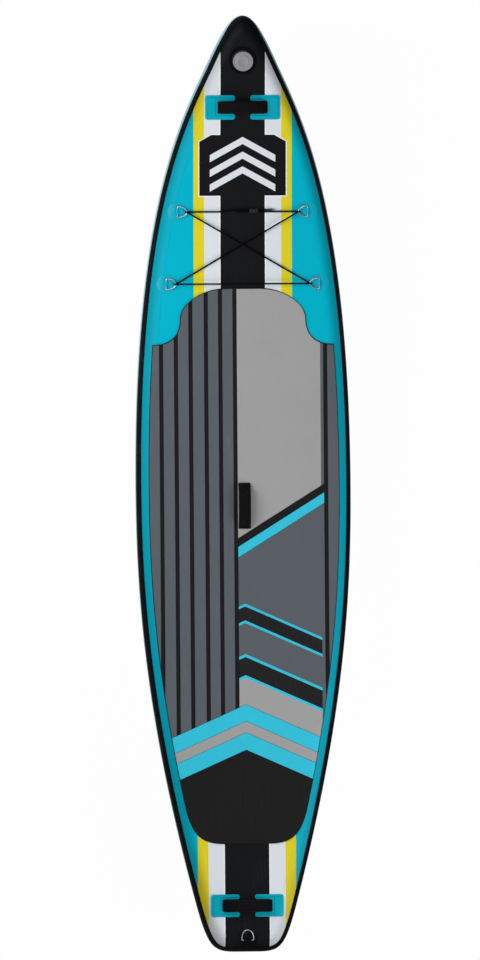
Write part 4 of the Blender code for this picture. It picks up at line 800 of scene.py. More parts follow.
def settle(piece: Object, body: str, finish: Finish, *nodes: str) -> Object:
    """Rides a piece on a body, and hides the CAD nodes that it stands for."""
    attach(piece, body)
    return dressed(piece, body, finish, *nodes)


def fitted(name: str, bm: BMesh, finish: Finish, body: str, *nodes: str) -> Object:
    """A new piece from a mesh, settled on a body."""
    return settle(as_object(name, bm, finish), body, finish, *nodes)


def stretch(piece: Object, body: str, start: Place, end: Place, finish: Finish, *nodes: str) -> Object:
    """Bakes a piece's place into its mesh, and hides the CAD nodes that it stands for."""
    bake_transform(piece)
    return dressed(piece, f"board to {body}", finish, *nodes)


def dressed(piece: Object, where: str, finish: Finish, *nodes: str) -> Object:
    """Hides the CAD nodes that a piece stands for, and reports it."""
    if nodes:
        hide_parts(*nodes)
    log.info("%s: %s, %d faces", piece.name, where, len(piece.data.polygons))
    return piece


# Geometry nodes


class Grower:
    """A Geometry Nodes tree with named inputs, run on a mesh of paths."""

    name = "grower"
    inputs: dict[str, str] = {}

    def build(self, wires: Wires, given: Sockets) -> NodeSocket:
        """Builds the tree up to the geometry that gets the finish. Each grower has its own."""
        raise NotImplementedError

    @cached_property
    def tree(self) -> NodeTree:
        """The tree, built at its first use. It ends in Realize Instances and Set Material."""
        tree = bpy.data.node_groups.new(self.name, "GeometryNodeTree")
        sockets = {"Geometry": "Geometry", **self.inputs, "Finish": "Material"}
        for name, kind in sockets.items():
            tree.interface.new_socket(name=name, in_out="INPUT", socket_type=f"NodeSocket{kind}")
        tree.interface.new_socket(name="Geometry", in_out="OUTPUT", socket_type="NodeSocketGeometry")
        wires = Wires(tree)
        given = wires.add("NodeGroupInput").outputs
        smooth = wires.first("GeometryNodeSetShadeSmooth", {"Geometry": self.build(wires, given)})
        real = wires.first("GeometryNodeRealizeInstances", {0: smooth})
        inputs = {"Geometry": real, "Material": given["Finish"]}
        wires.add("NodeGroupOutput", {0: wires.first("GeometryNodeSetMaterial", inputs)})
        return tree

    def grow(
        self, name: str, paths: Iterable[Sequence[Place]], loop: bool, finish: Finish, **values: object
    ) -> Object:
        """Runs the tree on paths and keeps the result as a plain mesh.

        Args:
            name: The new piece's name.
            paths: The lines of points that the tree follows.
            loop: Whether each line closes on itself.
            finish: What the piece is made of.
            values: The tree's other inputs, with underscores for spaces.

        Returns:
            The new object.
        """
        bm = bmesh.new()
        for path in paths:
            verts = [bm.verts.new(p) for p in path]
            for pair in neighbours(verts, loop):
                bm.edges.new(pair)
        helper = as_object("paths", bm)
        step = helper.modifiers.new("grow", "NODES")
        step.node_group = self.tree
        sockets = self.tree.interface.items_tree
        keys = {item.name: item.identifier for item in sockets if item.in_out == "INPUT"}
        for key, value in values.items():
            step[keys[key.replace("_", " ").title()]] = value
        step[keys["Finish"]] = finish.material()
        mesh = baked(helper)
        bpy.data.objects.remove(helper, do_unlink=True)
        mesh.name = name
        return linked(name, mesh)


class WireGrower(Grower):
    """Sweeps a round section along paths, and marks how far along and around each point lies."""

    name = "round_wire"
    inputs = {"Radius": "Float", "Sides": "Int"}

    def build(self, wires: Wires, given: Sockets) -> NodeSocket:
        """The swept tube."""
        line = wires.first("GeometryNodeMeshToCurve", {0: given["Geometry"]})
        length = wires.add("GeometryNodeSplineParameter").outputs["Length"]
        kept_line, along = self.captured(wires, line, "FLOAT", length)
        inputs = {"Resolution": given["Sides"], "Radius": given["Radius"]}
        section = wires.first("GeometryNodeCurvePrimitiveCircle", inputs)
        place = wires.first("GeometryNodeInputPosition")
        kept_section, around = self.captured(wires, section, "VECTOR", place)
        inputs = {"Curve": kept_line, "Profile Curve": kept_section, "Fill Caps": True}
        tube = wires.first("GeometryNodeCurveToMesh", inputs)
        for name, kind, value in (("along", "FLOAT", along), ("around", "FLOAT_VECTOR", around)):
            inputs = {"Geometry": tube, "Name": name, "Value": value}
            tube = wires.first("GeometryNodeStoreNamedAttribute", inputs, data_type=kind, domain="POINT")
        return tube

    def captured(
        self, wires: Wires, line: NodeSocket, kind: str, value: NodeSocket
    ) -> tuple[NodeSocket, NodeSocket]:
        """A line and a value that is kept on its points."""
        node = wires.add("GeometryNodeCaptureAttribute", domain="POINT")
        node.capture_items.new(kind, "kept")
        wires.fill(node, {0: line, 1: value})
        return node.outputs[0], node.outputs[1]


class BeadGrower(Grower):
    """Sets small rounded beads along paths: stitches in line with a path, or ribs that stand across it."""

    name = "bead_row"
    inputs = {"Spacing": "Float", "Length": "Float", "Thickness": "Float", "Upright": "Bool"}

    def build(self, wires: Wires, given: Sockets) -> NodeSocket:
        """Beads of a few faces on the points of the resampled paths."""
        line = wires.first("GeometryNodeMeshToCurve", {0: given["Geometry"]})
        inputs = {"Curve": line, "Length": given["Spacing"]}
        even = wires.first("GeometryNodeResampleCurve", inputs, mode="LENGTH")
        tangent = wires.first("GeometryNodeInputTangent")
        inputs = {0: given["Upright"], 1: tangent, 2: (0.0, 0.0, 1.0)}
        aim = wires.first("GeometryNodeSwitch", inputs, input_type="VECTOR")
        turn = wires.first("FunctionNodeAlignRotationToVector", {"Vector": aim}, axis="Z")
        bead = wires.first("GeometryNodeMeshUVSphere", {"Segments": 6, "Rings": 4, "Radius": 0.5})
        thick = given["Thickness"]
        size = wires.first("ShaderNodeCombineXYZ", {0: thick, 1: thick, 2: given["Length"]})
        inputs = {"Points": even, "Instance": bead, "Rotation": turn, "Scale": size}
        beads = wires.first("GeometryNodeInstanceOnPoints", inputs)
        return wires.first("GeometryNodeRealizeInstances", {0: beads})


WIRE = WireGrower()
BEADS = BeadGrower()


# The hull's shape


@dataclass
class HullShape:
    """The hull's plan, rail section and rocker, with the calls that lay pieces on its deck."""

    length: float = 3.200
    width: float = 0.738
    thickness: float = 0.150
    rail_reach: float = 0.060
    middle: float = 0.3024
    rocker_rise: float = 0.165
    rocker_start: float = 0.250
    rocker_power: float = 2.4
    shoulder: Flat = (0.136, 0.196)
    shoulder_angle: float = math.radians(25.4)
    tail: Flat = (0.176, 0.177)
    tail_angle: float = math.radians(14.8)
    tail_flat: float = 0.038
    handles: Numbers = (0.050, 0.111, 0.219, 0.890, 0.348, 0.680, 0.166, 0.080)
    tail_reach: float = 0.3
    point_step: float = 0.016
    point_turn: float = math.radians(3.0)
    section_step: float = 4.5

    @property
    def half(self) -> float:
        """Half the thickness: the flat deck's height above the middle plane."""
        return self.thickness / 2

    def station(self, back: float) -> float:
        """The Y of a place that lies so far behind the nose."""
        return self.length / 2 - back

    def rocker(self, y: float) -> float:
        """How far the rocker lifts the hull's middle plane at y."""
        run = self.length / 2 - self.rocker_start
        return self.rocker_rise * (max(0.0, y - self.rocker_start) / run) ** self.rocker_power

    def slope(self, y: float) -> float:
        """The rocker's angle at y."""
        run = self.length / 2 - self.rocker_start
        share = max(0.0, y - self.rocker_start) / run
        return math.atan(self.rocker_power * self.rocker_rise / run * share ** (self.rocker_power - 1))

    @cached_property
    def outline(self) -> np.ndarray:
        """The starboard silhouette, nose to tail, as close points."""
        aim = np.array([math.sin(self.shoulder_angle), -math.cos(self.shoulder_angle)])
        home = np.array([-math.sin(self.tail_angle), -math.cos(self.tail_angle)])
        nose = np.array([0.0, self.length / 2])
        shoulder = np.array([self.shoulder[0], self.station(self.shoulder[1])])
        widest = np.array([self.width / 2, 0.0])
        quarter = np.array([self.tail[0], self.tail[1] - self.length / 2])
        corner = np.array([self.tail_flat, -self.length / 2])
        along, across = np.array([0.0, 1.0]), np.array([1.0, 0.0])
        h = self.handles
        spans = (
            (nose, nose + h[0] * across, shoulder - h[1] * aim, shoulder),
            (shoulder, shoulder + h[2] * aim, widest + h[3] * along, widest),
            (widest, widest - h[4] * along, quarter - h[5] * home, quarter),
            (quarter, quarter + h[6] * home, corner + h[7] * across, corner),
        )
        fine = np.vstack([bezier(span, 400)[:-1] for span in spans] + [corner, [0.0, -self.length / 2]])
        steps = np.diff(fine, axis=0)
        lengths = np.hypot(steps[:, 0], steps[:, 1])
        heading = np.unwrap(np.arctan2(steps[:, 1], steps[:, 0]))
        bends = np.concatenate([[0.0], np.abs(np.diff(heading))])
        measure = np.concatenate([[0.0], np.cumsum(lengths / self.point_step + bends / self.point_turn)])
        wanted = np.linspace(0.0, measure[-1], math.ceil(measure[-1]) + 1)
        return np.column_stack([np.interp(wanted, measure, fine[:, i]) for i in range(2)])

    def inset(self, distance: float) -> np.ndarray:
        """The silhouette moved inwards, point for point, with its folds gathered in single points."""
        line = self.outline
        ahead = np.gradient(line, axis=0)
        ahead[0], ahead[-1] = (1.0, 0.0), (-1.0, 0.0)
        normals = np.column_stack([ahead[:, 1], -ahead[:, 0]]) / np.hypot(ahead[:, 0], ahead[:, 1])[:, None]
        moved = line + normals * distance
        moved[-1, 0] = 0.0
        last = int(np.flatnonzero((moved[:, 0] <= 0.0) & (line[:, 1] > 0.0)).max(initial=0))
        a, b = moved[last], moved[last + 1]
        moved[: last + 1] = (0.0, a[1] + (b[1] - a[1]) * -a[0] / (b[0] - a[0]))
        start = int(np.flatnonzero(line[:, 1] < self.tail_reach - self.length / 2)[0])
        for i in range(start, len(moved) - 3):
            for j in range(len(moved) - 2, i + 1, -1):
                place = crossing(moved[i], moved[i + 1], moved[j], moved[j + 1])
                if place is not None:
                    moved[i + 1 : j + 1] = place
                    return moved
        return moved

    @cached_property
    def edge(self) -> np.ndarray:
        """The starboard line where the flat deck ends and the rail begins."""
        return self.inset(self.rail_reach)

    def section(self, angle: float, offset: float = 0.0) -> tuple[np.ndarray, float]:
        """The starboard line where the rail's section reaches an angle, and that line's height."""
        out = (self.rail_reach + offset) / self.rail_reach * math.cos(math.radians(angle))
        height = (self.half + offset) * math.sin(math.radians(angle))
        return self.edge + (self.outline - self.edge) * out, height

    @cached_property
    def surface(self) -> BVHTree:
        """The flat-drawn hull's top, for laying pieces on."""
        rings = []
        for angle in np.arange(0.0, 90.0 + self.section_step / 2, self.section_step):
            line, z = self.section(float(angle))
            rings.append([(x, y, z) for x, y in both_sides(line)])
        bm = skin(rings)
        tree = BVHTree.FromBMesh(bm)
        bm.free()
        return tree

    def lay(self, bm: BMesh) -> BMesh:
        """Puts a flat-drawn mesh on the hull: each point's Z is its height above the deck there."""
        for vert in bm.verts:
            x, y, height = vert.co
            place, normal, _, _ = self.surface.ray_cast(Vector((x, y, self.thickness)), Vector((0, 0, -1)))
            vert.co = place + normal * height
        return self.bend(bm)

    def bend(self, bm: BMesh) -> BMesh:
        """Lifts a flat-drawn mesh by the rocker."""
        for vert in bm.verts:
            vert.co.z += self.middle + self.rocker(vert.co.y)
        return bm

    def above(self, x: float, y: float, height: float) -> Place:
        """The world place at a height along the flat deck's normal."""
        lean = self.slope(y)
        top = self.middle + self.rocker(y) + self.half
        return x, y - height * math.sin(lean), top + height * math.cos(lean)

    def seat(self, x: float, y: float, above: float = 0.0) -> Matrix:
        """The matrix that puts a rigid piece on or above the flat deck, tipped with the rocker."""
        shift = Matrix.Translation((x, y, self.middle + self.rocker(y) + self.half + above))
        return shift @ Matrix.Rotation(self.slope(y), 4, "X")


def bezier(points: Sequence[np.ndarray], steps: int) -> np.ndarray:
    """Points along a cubic curve through four control points."""
    share = np.linspace(0.0, 1.0, steps)[:, None]
    rest = 1.0 - share
    a, b, c, d = (np.asarray(p, float) for p in points)
    return rest**3 * a + 3 * rest**2 * share * b + 3 * rest * share**2 * c + share**3 * d


def quadratic(points: Sequence[Flat], steps: int) -> np.ndarray:
    """Points along a curve that rounds a corner."""
    share = np.linspace(0.0, 1.0, steps)[:, None]
    a, b, c = (np.asarray(p, float) for p in points)
    return (1 - share) ** 2 * a + 2 * (1 - share) * share * b + share**2 * c


def crossing(a: np.ndarray, b: np.ndarray, c: np.ndarray, d: np.ndarray) -> np.ndarray | None:
    """Where the lines from a to b and from c to d cross, if they do."""
    first, second, between = b - a, d - c, c - a
    scale = first[0] * second[1] - first[1] * second[0]
    if abs(scale) < 1e-15:
        return None
    s = (between[0] * second[1] - between[1] * second[0]) / scale
    t = (between[0] * first[1] - between[1] * first[0]) / scale
    return a + first * s if 0 <= s <= 1 and 0 <= t <= 1 else None


def both_sides(line: np.ndarray) -> np.ndarray:
    """A closed loop from a starboard line whose ends are on the centreline."""
    return np.vstack([line, line[-2:0:-1] * np.array([-1.0, 1.0])])


HULL = HullShape()


class FlatCut:
    """A plan that is trimmed by straight lines, raised into a slab and laid on the hull."""

    fine_from = 0.16
    fine_step = 0.008
    wide_step = 0.040
    long_step = 0.030

    def __init__(self, plan: Sequence[Flat]) -> None:
        """Starts from a plan outline."""
        self.bm = bmesh.new()
        self.bm.faces.new([self.bm.verts.new((x, y, 0.0)) for x, y in plan])

    def trim(self, point: Flat, away: Flat) -> "FlatCut":
        """Removes what lies beyond a line, on the side that away points to."""
        bisected(self.bm, (*point, 0.0), (*away, 0.0), True)
        return self

    def join(self, other: "FlatCut") -> "FlatCut":
        """Adds another cut that shares an edge with this one."""
        merged(self.bm, other.bm)
        bmesh.ops.remove_doubles(self.bm, verts=self.bm.verts, dist=10 * WELD)
        return self

    def grid(self) -> "FlatCut":
        """Cuts lines along and across the board, closer near the rails, so that the slab can bend."""
        reach = np.arange(self.fine_from, HULL.width / 2, self.fine_step)
        inner = np.arange(0.0, self.fine_from, self.wide_step)[1:]
        places = np.array([tuple(v.co) for v in self.bm.verts])
        low, high = places.min(axis=0), places.max(axis=0)
        for x in np.concatenate([-reach, -inner, inner, reach]):
            if low[0] < x < high[0]:
                bisected(self.bm, (x, 0.0, 0.0), (1.0, 0.0, 0.0))
        for k in range(math.ceil(low[1] / self.long_step), math.ceil(high[1] / self.long_step)):
            bisected(self.bm, (0.0, k * self.long_step, 0.0), (0.0, 1.0, 0.0))
        return self

    def slab(self, low: float, thick: float, bevel: float) -> BMesh:
        """Raises the plan to a slab whose upper edge is bevelled, and lays it on the hull."""
        bm = self.bm
        raised = bmesh.ops.extrude_face_region(bm, geom=list(bm.faces))["geom"]
        top = [part for part in raised if isinstance(part, bmesh.types.BMFace)]
        upper = {vert for face in top for vert in face.verts}
        for vert in bm.verts:
            vert.co.z = low + thick if vert in upper else low
        bmesh.ops.recalc_face_normals(bm, faces=bm.faces)
        inset = {"thickness": bevel, "use_boundary": True, "use_even_offset": True}
        bmesh.ops.inset_region(bm, faces=top, **inset)
        inner = {vert for face in top for vert in face.verts}
        for vert in bm.verts:
            if vert.co.z > low + thick / 2 and vert not in inner:
                vert.co.z -= bevel
        return cleaned(HULL.lay(bm))


class DenseCut(FlatCut):
    """A small plan with close lines both ways."""

    fine_from = 0.0
    fine_step = 0.006
    wide_step = 0.006
    long_step = 0.006


def patch(plan: Sequence[Flat], low: float, thick: float, bevel: float = 0.0004) -> BMesh:
    """A small welded patch on the deck."""
    return DenseCut(plan).grid().slab(low, thick, bevel)


# Sub-assemblies


@dataclass
class Hull:
    """The coated sheets, the rails and the black tape round the rail."""

    skin: float = 0.0012
    seam: float = 0.0003
    tape_places: Numbers = (-1.50, -1.20, -0.50, 0.20, 1.00, 1.42, 1.54, 1.60)
    tape_top: Numbers = (44.0, 46.0, 47.0, 45.0, 48.0, 53.0, 53.0, 50.0)
    tape_bottom: Numbers = (14.0, 17.0, 17.0, 18.0, 25.0, 31.0, 31.0, 20.0)
    tape_thick: float = 0.0006
    tape_lift: float = 0.0008
    cut_step: float = 0.030

    def build(self) -> None:
        """Makes every hull piece."""
        half = HULL.half
        self.sheet("deck_sheet", half - self.skin, half, PRINT, "deck_skin_fore", "deck_skin_aft")
        self.sheet("bottom_sheet", -half, self.skin - half, WHITE_SHEET, "bottom_skin")
        for side, name in ((1, "starboard"), (-1, "port")):
            self.rail(side, name)
        self.tape()

    def sheet(self, name: str, low: float, high: float, finish: Finish, *nodes: str) -> None:
        """The deck or bottom sheet, which ends where the rails begin to round."""
        plan = both_sides(HULL.inset(HULL.rail_reach + self.seam))
        bm = skin([[(x, y, z) for x, y in plan] for z in (low, high)])
        y = HULL.rocker_start
        while y < HULL.length / 2:
            bisected(bm, (0, y, 0), (0, 1, 0))
            y += self.cut_step
        fitted(name, HULL.bend(bm), finish, "board", *nodes)

    def tape_angles(self, y: float) -> tuple[float, float]:
        """The rail angles between which the tape lies at y."""
        top = float(np.interp(y, self.tape_places, self.tape_top))
        return top, float(np.interp(y, self.tape_places, self.tape_bottom))

    def rail(self, side: int, name: str) -> None:
        """One rounded side wall. Inboard of the tape it carries the deck's print."""
        upper = np.arange(90.0, 0.0, -HULL.section_step)
        lower = np.arange(0.0, -90.0 - HULL.section_step / 2, -2 * HULL.section_step)
        angles = (*upper, *lower)
        # painted shade: none at the deck's edge, full from halfway down the upper rail and all over the lower
        # rail
        falls = [min(1.0, 2 * math.cos(math.radians(a))) if a > 0 else 1.0 for a in angles]
        lines = [HULL.section(float(a)) for a in angles]
        lines += [HULL.section(float(a), -self.skin) for a in angles[::-1]]
        least, last = self.seam / 2, len(HULL.outline) - 1
        rings = []
        for i in range(last + 1):
            most = least if i in (0, last) else HULL.width
            rings.append([(side * min(most, max(line[i, 0], least)), line[i, 1], z) for line, z in lines])
        bm = skin(rings, marks={"painted_shade_share": [falls + falls[::-1]] * len(rings)})
        for face in bm.faces:
            place = face.calc_center_median()
            angle = math.degrees(math.asin(min(1.0, place.z / HULL.half))) if place.z > 0 else 0.0
            face.material_index = 1 if angle > sum(self.tape_angles(place.y)) / 2 else 0
        rail = as_object(f"rail_sheet_{name}", HULL.bend(bm), TURQUOISE, PRINT)
        settle(rail, "board", TURQUOISE, f"rail_{name}")

    def tape(self) -> None:
        """The black tape round the whole board."""
        starboard = []
        for i, (_, y) in enumerate(HULL.outline):
            top, bottom = self.tape_angles(y)
            angles = np.linspace(top, bottom, 7)
            ring = []
            for offset, order in ((self.tape_lift + self.tape_thick, angles), (self.tape_lift, angles[::-1])):
                for angle in order:
                    line, z = HULL.section(float(angle), offset)
                    ring.append((line[i, 0], line[i, 1], z))
            starboard.append(ring)
        port = [[(-x, y, z) for x, y, z in ring] for ring in starboard[-2:0:-1]]
        tape = HULL.bend(skin(starboard + port, closed=True))
        fitted("rail_tape", tape, BLACK_TAPE, "board", "rail_stripe")


@dataclass
class DeckPad:
    """The foam deck pad: a black base with planks, fields, bands and chevrons on it."""

    front_back: float = 0.929
    front_half: float = 0.055
    neck: Flat = (0.216, 1.036)
    shoulder_back: float = 1.1215
    side_inset: float = 0.043
    corner_forward: float = 0.480
    tail_forward: float = 0.371
    tail_half: float = 0.075
    end_handle: float = 0.085
    neck_handles: Flat = (0.055, 0.045)
    shoulder_handle: float = 0.07
    foot_handle: Flat = (0.022, 0.075)
    base_low: float = 0.0004
    base_thick: float = 0.0027
    top_low: float = 0.0032
    top_thick: float = 0.0026
    bevel: float = 0.0006
    lip: float = 0.003
    groove: float = 0.014
    grooves: Numbers = (-0.2813, -0.2305, -0.1803, -0.1275, -0.0785, -0.0290)
    edge_groove: float = 0.2803
    apex_back: float = 2.352
    chevron_slope: float = math.tan(math.radians(24))
    chevrons: Numbers = (0.057, 0.039, 0.059)
    band_back: float = 1.770
    band_slope: float = math.tan(math.radians(32))
    band_black: float = 0.030
    band_blue: float = 0.036
    inlay: float = 0.0010
    slots: tuple[Flat, ...] = ((-0.073 - 0.0715, 0.0068), (-0.073 + 0.0715, 0.0068))
    slot_half: float = 0.020
    slot_cut: Flat = (0.38, 0.06)
    margin: float = 0.004

    def outline(self, lip: float) -> list[Flat]:
        """The pad's plan, shrunk by a lip."""
        side = HULL.inset(self.side_inset + lip)
        front = HULL.station(self.front_back) - lip
        neck = (self.neck[0] - lip, HULL.station(self.neck[1]))
        shoulder_y = HULL.station(self.shoulder_back) - lip
        shoulder = (float(np.interp(-shoulder_y, -side[:, 1], side[:, 0])), shoulder_y)
        nose = (self.front_half, front)
        ahead, behind = ((neck[0], neck[1] + way) for way in (self.neck_handles[0], -self.neck_handles[1]))
        head = bezier((nose, (nose[0] + self.end_handle, front), ahead, neck), 24)
        flare = bezier((neck, behind, (shoulder[0] - self.shoulder_handle, shoulder_y), shoulder), 20)
        corner_y = self.corner_forward - HULL.length / 2
        corner = (float(np.interp(-corner_y, -side[:, 1], side[:, 0])), corner_y)
        rear = self.tail_forward - HULL.length / 2 + lip
        tail = (self.tail_half, rear)
        turn = (corner[0] - self.foot_handle[0], corner_y - self.foot_handle[1])
        foot = bezier((corner, turn, (tail[0] + self.end_handle, rear), tail), 24)
        between = side[(side[:, 1] < shoulder_y - self.margin) & (side[:, 1] > corner_y + self.margin)]
        half = np.vstack([head, flare[1:], between, foot])
        return [tuple(p) for p in np.vstack([half, half[::-1] * np.array([-1.0, 1.0])])]

    def strip(self, left: float, right: float, ahead: Callable | None, behind: Callable | None) -> FlatCut:
        """The part of the pad between two X values and two slanted ends.

        Args:
            left: The lowest X.
            right: The highest X.
            ahead: Gives the front line's (y at the middle, slope) for a side, -1 or 1. None for no line.
            behind: The same for the rear line.

        Returns:
            The cut plan.
        """
        halves = []
        for side in (-1, 1):
            if (side < 0 and left >= 0) or (side > 0 and right <= 0):
                continue
            cut = FlatCut(self.outline(self.lip))
            cut.trim((left, 0.0), (-1.0, 0.0)).trim((right, 0.0), (1.0, 0.0))
            if left < 0 < right:
                cut.trim((0.0, 0.0), (-side, 0.0))
            for line, sense in ((ahead, 1.0), (behind, -1.0)):
                if line:
                    y, slope = line(side)
                    cut.trim((0.0, y), (-slope * sense, sense))
            halves.append(cut)
        return halves[0] if len(halves) == 1 else halves[0].join(halves[1])

    def pierced(self, bm: BMesh) -> BMesh:
        """A slab with the openings for the centre handle's webbing."""
        z, tall = self.slot_cut
        openings = (block((2 * self.slot_half, 2 * half, tall), (0.0, y, z)) for y, half in self.slots)
        return drilled(bm, *openings)

    def build(self) -> None:
        """Makes the base and every panel."""
        base = FlatCut(self.outline(0.0)).grid().slab(self.base_low, self.base_thick, self.bevel)
        fitted("pad_base_foam", self.pierced(base), FOAM_BLACK, "board", "pad_base")

        def chevron(deep: float) -> Callable:
            """The V line whose tip lies so far behind the first one."""
            return lambda side: (HULL.station(self.apex_back + deep), -side * self.chevron_slope)

        def band(deep: float) -> Callable:
            """The slanted line that lies so far behind the band's front edge."""
            return lambda side: (HULL.station(self.band_back + deep), self.band_slope)

        half, wide, planks_end = self.groove / 2, HULL.width / 2, chevron(0.0)
        lefts = [-wide] + [x + half for x in self.grooves]
        rights = [x - half for x in (*self.grooves, self.edge_groove)]
        panels = [
            (f"plank_{i + 1}", FOAM_SLATE, left, right, None, planks_end)
            for i, (left, right) in enumerate(zip(lefts[:-1], rights))
        ]
        left, right = lefts[-1], rights[-1]
        black, blue = self.band_black, self.band_black + self.band_blue
        panels += [
            ("field_front", FOAM_FIELD, left, right, None, band(0.0)),
            ("band", FOAM_BLUE, left, right, band(black), band(blue)),
            ("field_rear", FOAM_PRINT, left, right, band(blue + self.inlay), planks_end),
            ("plank_edge", FOAM_SLATE, self.edge_groove + half, wide, None, planks_end),
        ]
        deep = 0.0
        inlays = zip(self.chevrons, ("front", "grey", "rear"), (FOAM_BLUE, FOAM_GREY, FOAM_BLUE))
        for size, name, finish in inlays:
            edges = (chevron(deep + self.inlay), chevron(deep + size))
            panels.append((f"chevron_{name}", finish, -wide, wide, *edges))
            deep += size
        panels.append(("tail", FOAM_BLACK, -wide, wide, chevron(deep + self.inlay), None))
        for name, finish, *ends in panels:
            bm = self.strip(*ends).grid().slab(self.top_low, self.top_thick, self.bevel)
            bm = self.pierced(bm) if name == "field_front" else bm
            fitted(f"pad_{name}_foam", bm, finish, "board", f"pad_{name}")


@dataclass
class CarryHandle:
    """A padded carry handle: webbing that rises from the board at both ends, in a neoprene sleeve."""

    name: str
    y: float
    half_span: float
    base: float
    run: Run
    rise: float = 0.031
    root_height: float = 0.0027
    hinge_height: float = 0.015
    webbing_wide: float = 0.038
    webbing_thick: float = 0.002
    sleeve_wide: float = 0.042
    sleeve_thick: float = 0.010
    setback: float = 0.0034
    stitch_spacing: float = 0.0036
    seam_height: float = 0.32
    seam_share: float = 0.935
    stitch_long: float = 0.0026
    stitch_thick: float = 0.0007
    stitch_margin: float = 0.002
    strap_start: float = 0.0005
    strap_round: float = 0.8
    sharp: float = 60.0
    cuff_start: float = 0.0015
    cuff_gap: float = 0.0002
    cuff_power: float = 1.5
    blend_gap: float = 0.002
    cuff_corner: float = 0.004
    cuff_thin: float = 0.34
    cuff_full: float = 0.65
    overlap: float = 0.012
    bound: float = 0.008
    bound_thin: float = 0.35
    wave: float = 0.05
    waves: int = 5
    fill: float = 0.8
    crown: tuple[Flat, ...] = (
        (1.0, 0.0), (0.993, 0.20), (0.97, 0.28), (0.90, 0.30), (0.86, 0.36),
        (0.78, 0.66), (0.66, 0.86), (0.45, 0.97), (0.22, 1.0),
    )

    def height(self, place: float) -> float:
        """The webbing's height above the middle plane, at a distance from the handle's middle."""
        share = min(1.0, abs(place) / self.half_span)
        return self.base + self.root_height + self.rise * (1 - share**3)

    def slope_at(self, place: float) -> float:
        """How steeply the webbing's line rises at a place."""
        step = 1e-4
        return (self.height(place + step) - self.height(place - step)) / (2 * step)

    @property
    def hinge(self) -> float:
        """How far from the middle the webbing rises through the hinge's height."""
        return self.half_span * (1 - (self.hinge_height - self.root_height) / self.rise) ** (1 / 3)

    def world(self, place: float, height: float) -> Place:
        """The world place of a point on the handle's line."""
        x, y = (0.0, self.y + place) if self.run is Run.ALONG else (place, self.y)
        return x, y, height + HULL.middle + HULL.rocker(y)

    def swept(self, places: np.ndarray, profile: Sequence[Flat]) -> BMesh:
        """Upright sections along the webbing's line, marked with how far along and across each point lies.

        Args:
            places: Distances along the line from its middle.
            profile: The section, as (across, above) points.

        Returns:
            The mesh, drawn at its height above the hull's middle plane.
        """
        heights = np.array([self.height(p) for p in places])
        slopes = np.gradient(heights, places)
        length = np.concatenate([[0.0], np.cumsum(np.hypot(np.diff(places), np.diff(heights)))])
        rings = []
        for place, height, slope in zip(places, heights, slopes):
            factor = math.hypot(1.0, slope)
            offsets = [(side, place) if self.run is Run.ALONG else (place, side) for side, _ in profile]
            rings.append([(x, self.y + y, height + factor * up) for (x, y), (_, up) in zip(offsets, profile)])
        across = [[side for side, _ in profile]] * len(rings)
        return skin(rings, marks={"along": [[gone] * len(profile) for gone in length], "across": across})

    def named(self, name: str, bm: BMesh, finish: Finish) -> Object:
        """A piece of this handle, lifted by the rocker."""
        return as_object(f"{self.name}_{name}", HULL.bend(bm), finish, sharp=self.sharp)

    def build(self) -> None:
        """Makes the two webbing ends, the sleeve and its stitches."""
        for sign, side in ((1, "high"), (-1, "low")):
            self.webbing(sign, side)
            self.cuff(sign, side)
        self.sleeve()

    def webbing(self, sign: int, side: str) -> None:
        """One end of the webbing, from under its patch into the sleeve."""
        places = sign * np.linspace(self.half_span + self.strap_start, self.hinge - self.overlap, 26)
        half, thick = self.webbing_wide / 2, self.webbing_thick / 2
        edge = thick * self.strap_round
        top = [(half - edge * (1 - math.sin(a)), thick * math.cos(a)) for a in np.linspace(0.0, math.pi, 7)]
        across = list(np.linspace(half - edge, edge - half, 9))[1:-1]
        profile = top + [(u, -thick) for u in across] + [(-u, -v) for u, v in top]
        profile += [(-u, thick) for u in across]
        nodes = [f"{self.name}_webbing"]
        if self.run is Run.ALONG:
            nodes.append(f"{self.name}_end_{'front' if sign > 0 else 'rear'}")
        self.held(self.named(f"strap_{side}", self.swept(places, profile), WEBBING), sign, WEBBING, *nodes)

    def held(self, piece: Object, sign: int, finish: Finish, *nodes: str) -> None:
        """Bakes one end's piece in place, between the board and the handle."""
        height = self.base + self.root_height
        places = (self.half_span, self.hinge - self.blend_gap)
        start, end = (self.world(sign * place, height) for place in places)
        stretch(piece, self.name, start, end, finish, *nodes)

    def cuff(self, sign: int, side: str) -> None:
        """The sleeve's rounded and flattened end, which runs between the board and the handle."""
        start, end = self.half_span + self.cuff_start, self.hinge - self.setback - self.cuff_gap
        places = sign * (start + (end - start) * np.linspace(0.0, 1.0, 22) ** self.cuff_power)
        bm = self.swept(places, self.sleeve_profile())
        axis = self.run.value
        centre = (0.0, self.y)
        for vert in bm.verts:
            place = abs(vert.co[axis] - centre[axis])
            near = min(1.0, (start - place) / (start - end))
            bare = min(1.0, max(0.0, 1 - (start - place) / self.cuff_corner))
            narrow = self.cuff_corner * (1 - math.sqrt(1 - bare**2)) * 2 / self.sleeve_wide
            vert.co[1 - axis] = centre[1 - axis] + (vert.co[1 - axis] - centre[1 - axis]) * (1 - narrow)
            self.thin(vert, place, self.cuff_thin + (self.cuff_full - self.cuff_thin) * near)
        piece = self.named(f"cuff_{side}", bm, NEOPRENE)
        self.held(piece, sign, NEOPRENE)

    def sleeve_profile(self) -> list[Flat]:
        """The sleeve's section: a crowned pad between two thin sewn edges."""
        half, thick = self.sleeve_wide / 2, self.sleeve_thick / 2
        upper = [(half * u, thick * v) for u, v in self.crown]
        top = [*upper, (0.0, thick)] + [(-u, v) for u, v in reversed(upper)]
        return top + [(u, -v) for u, v in reversed(top[1:-1])]

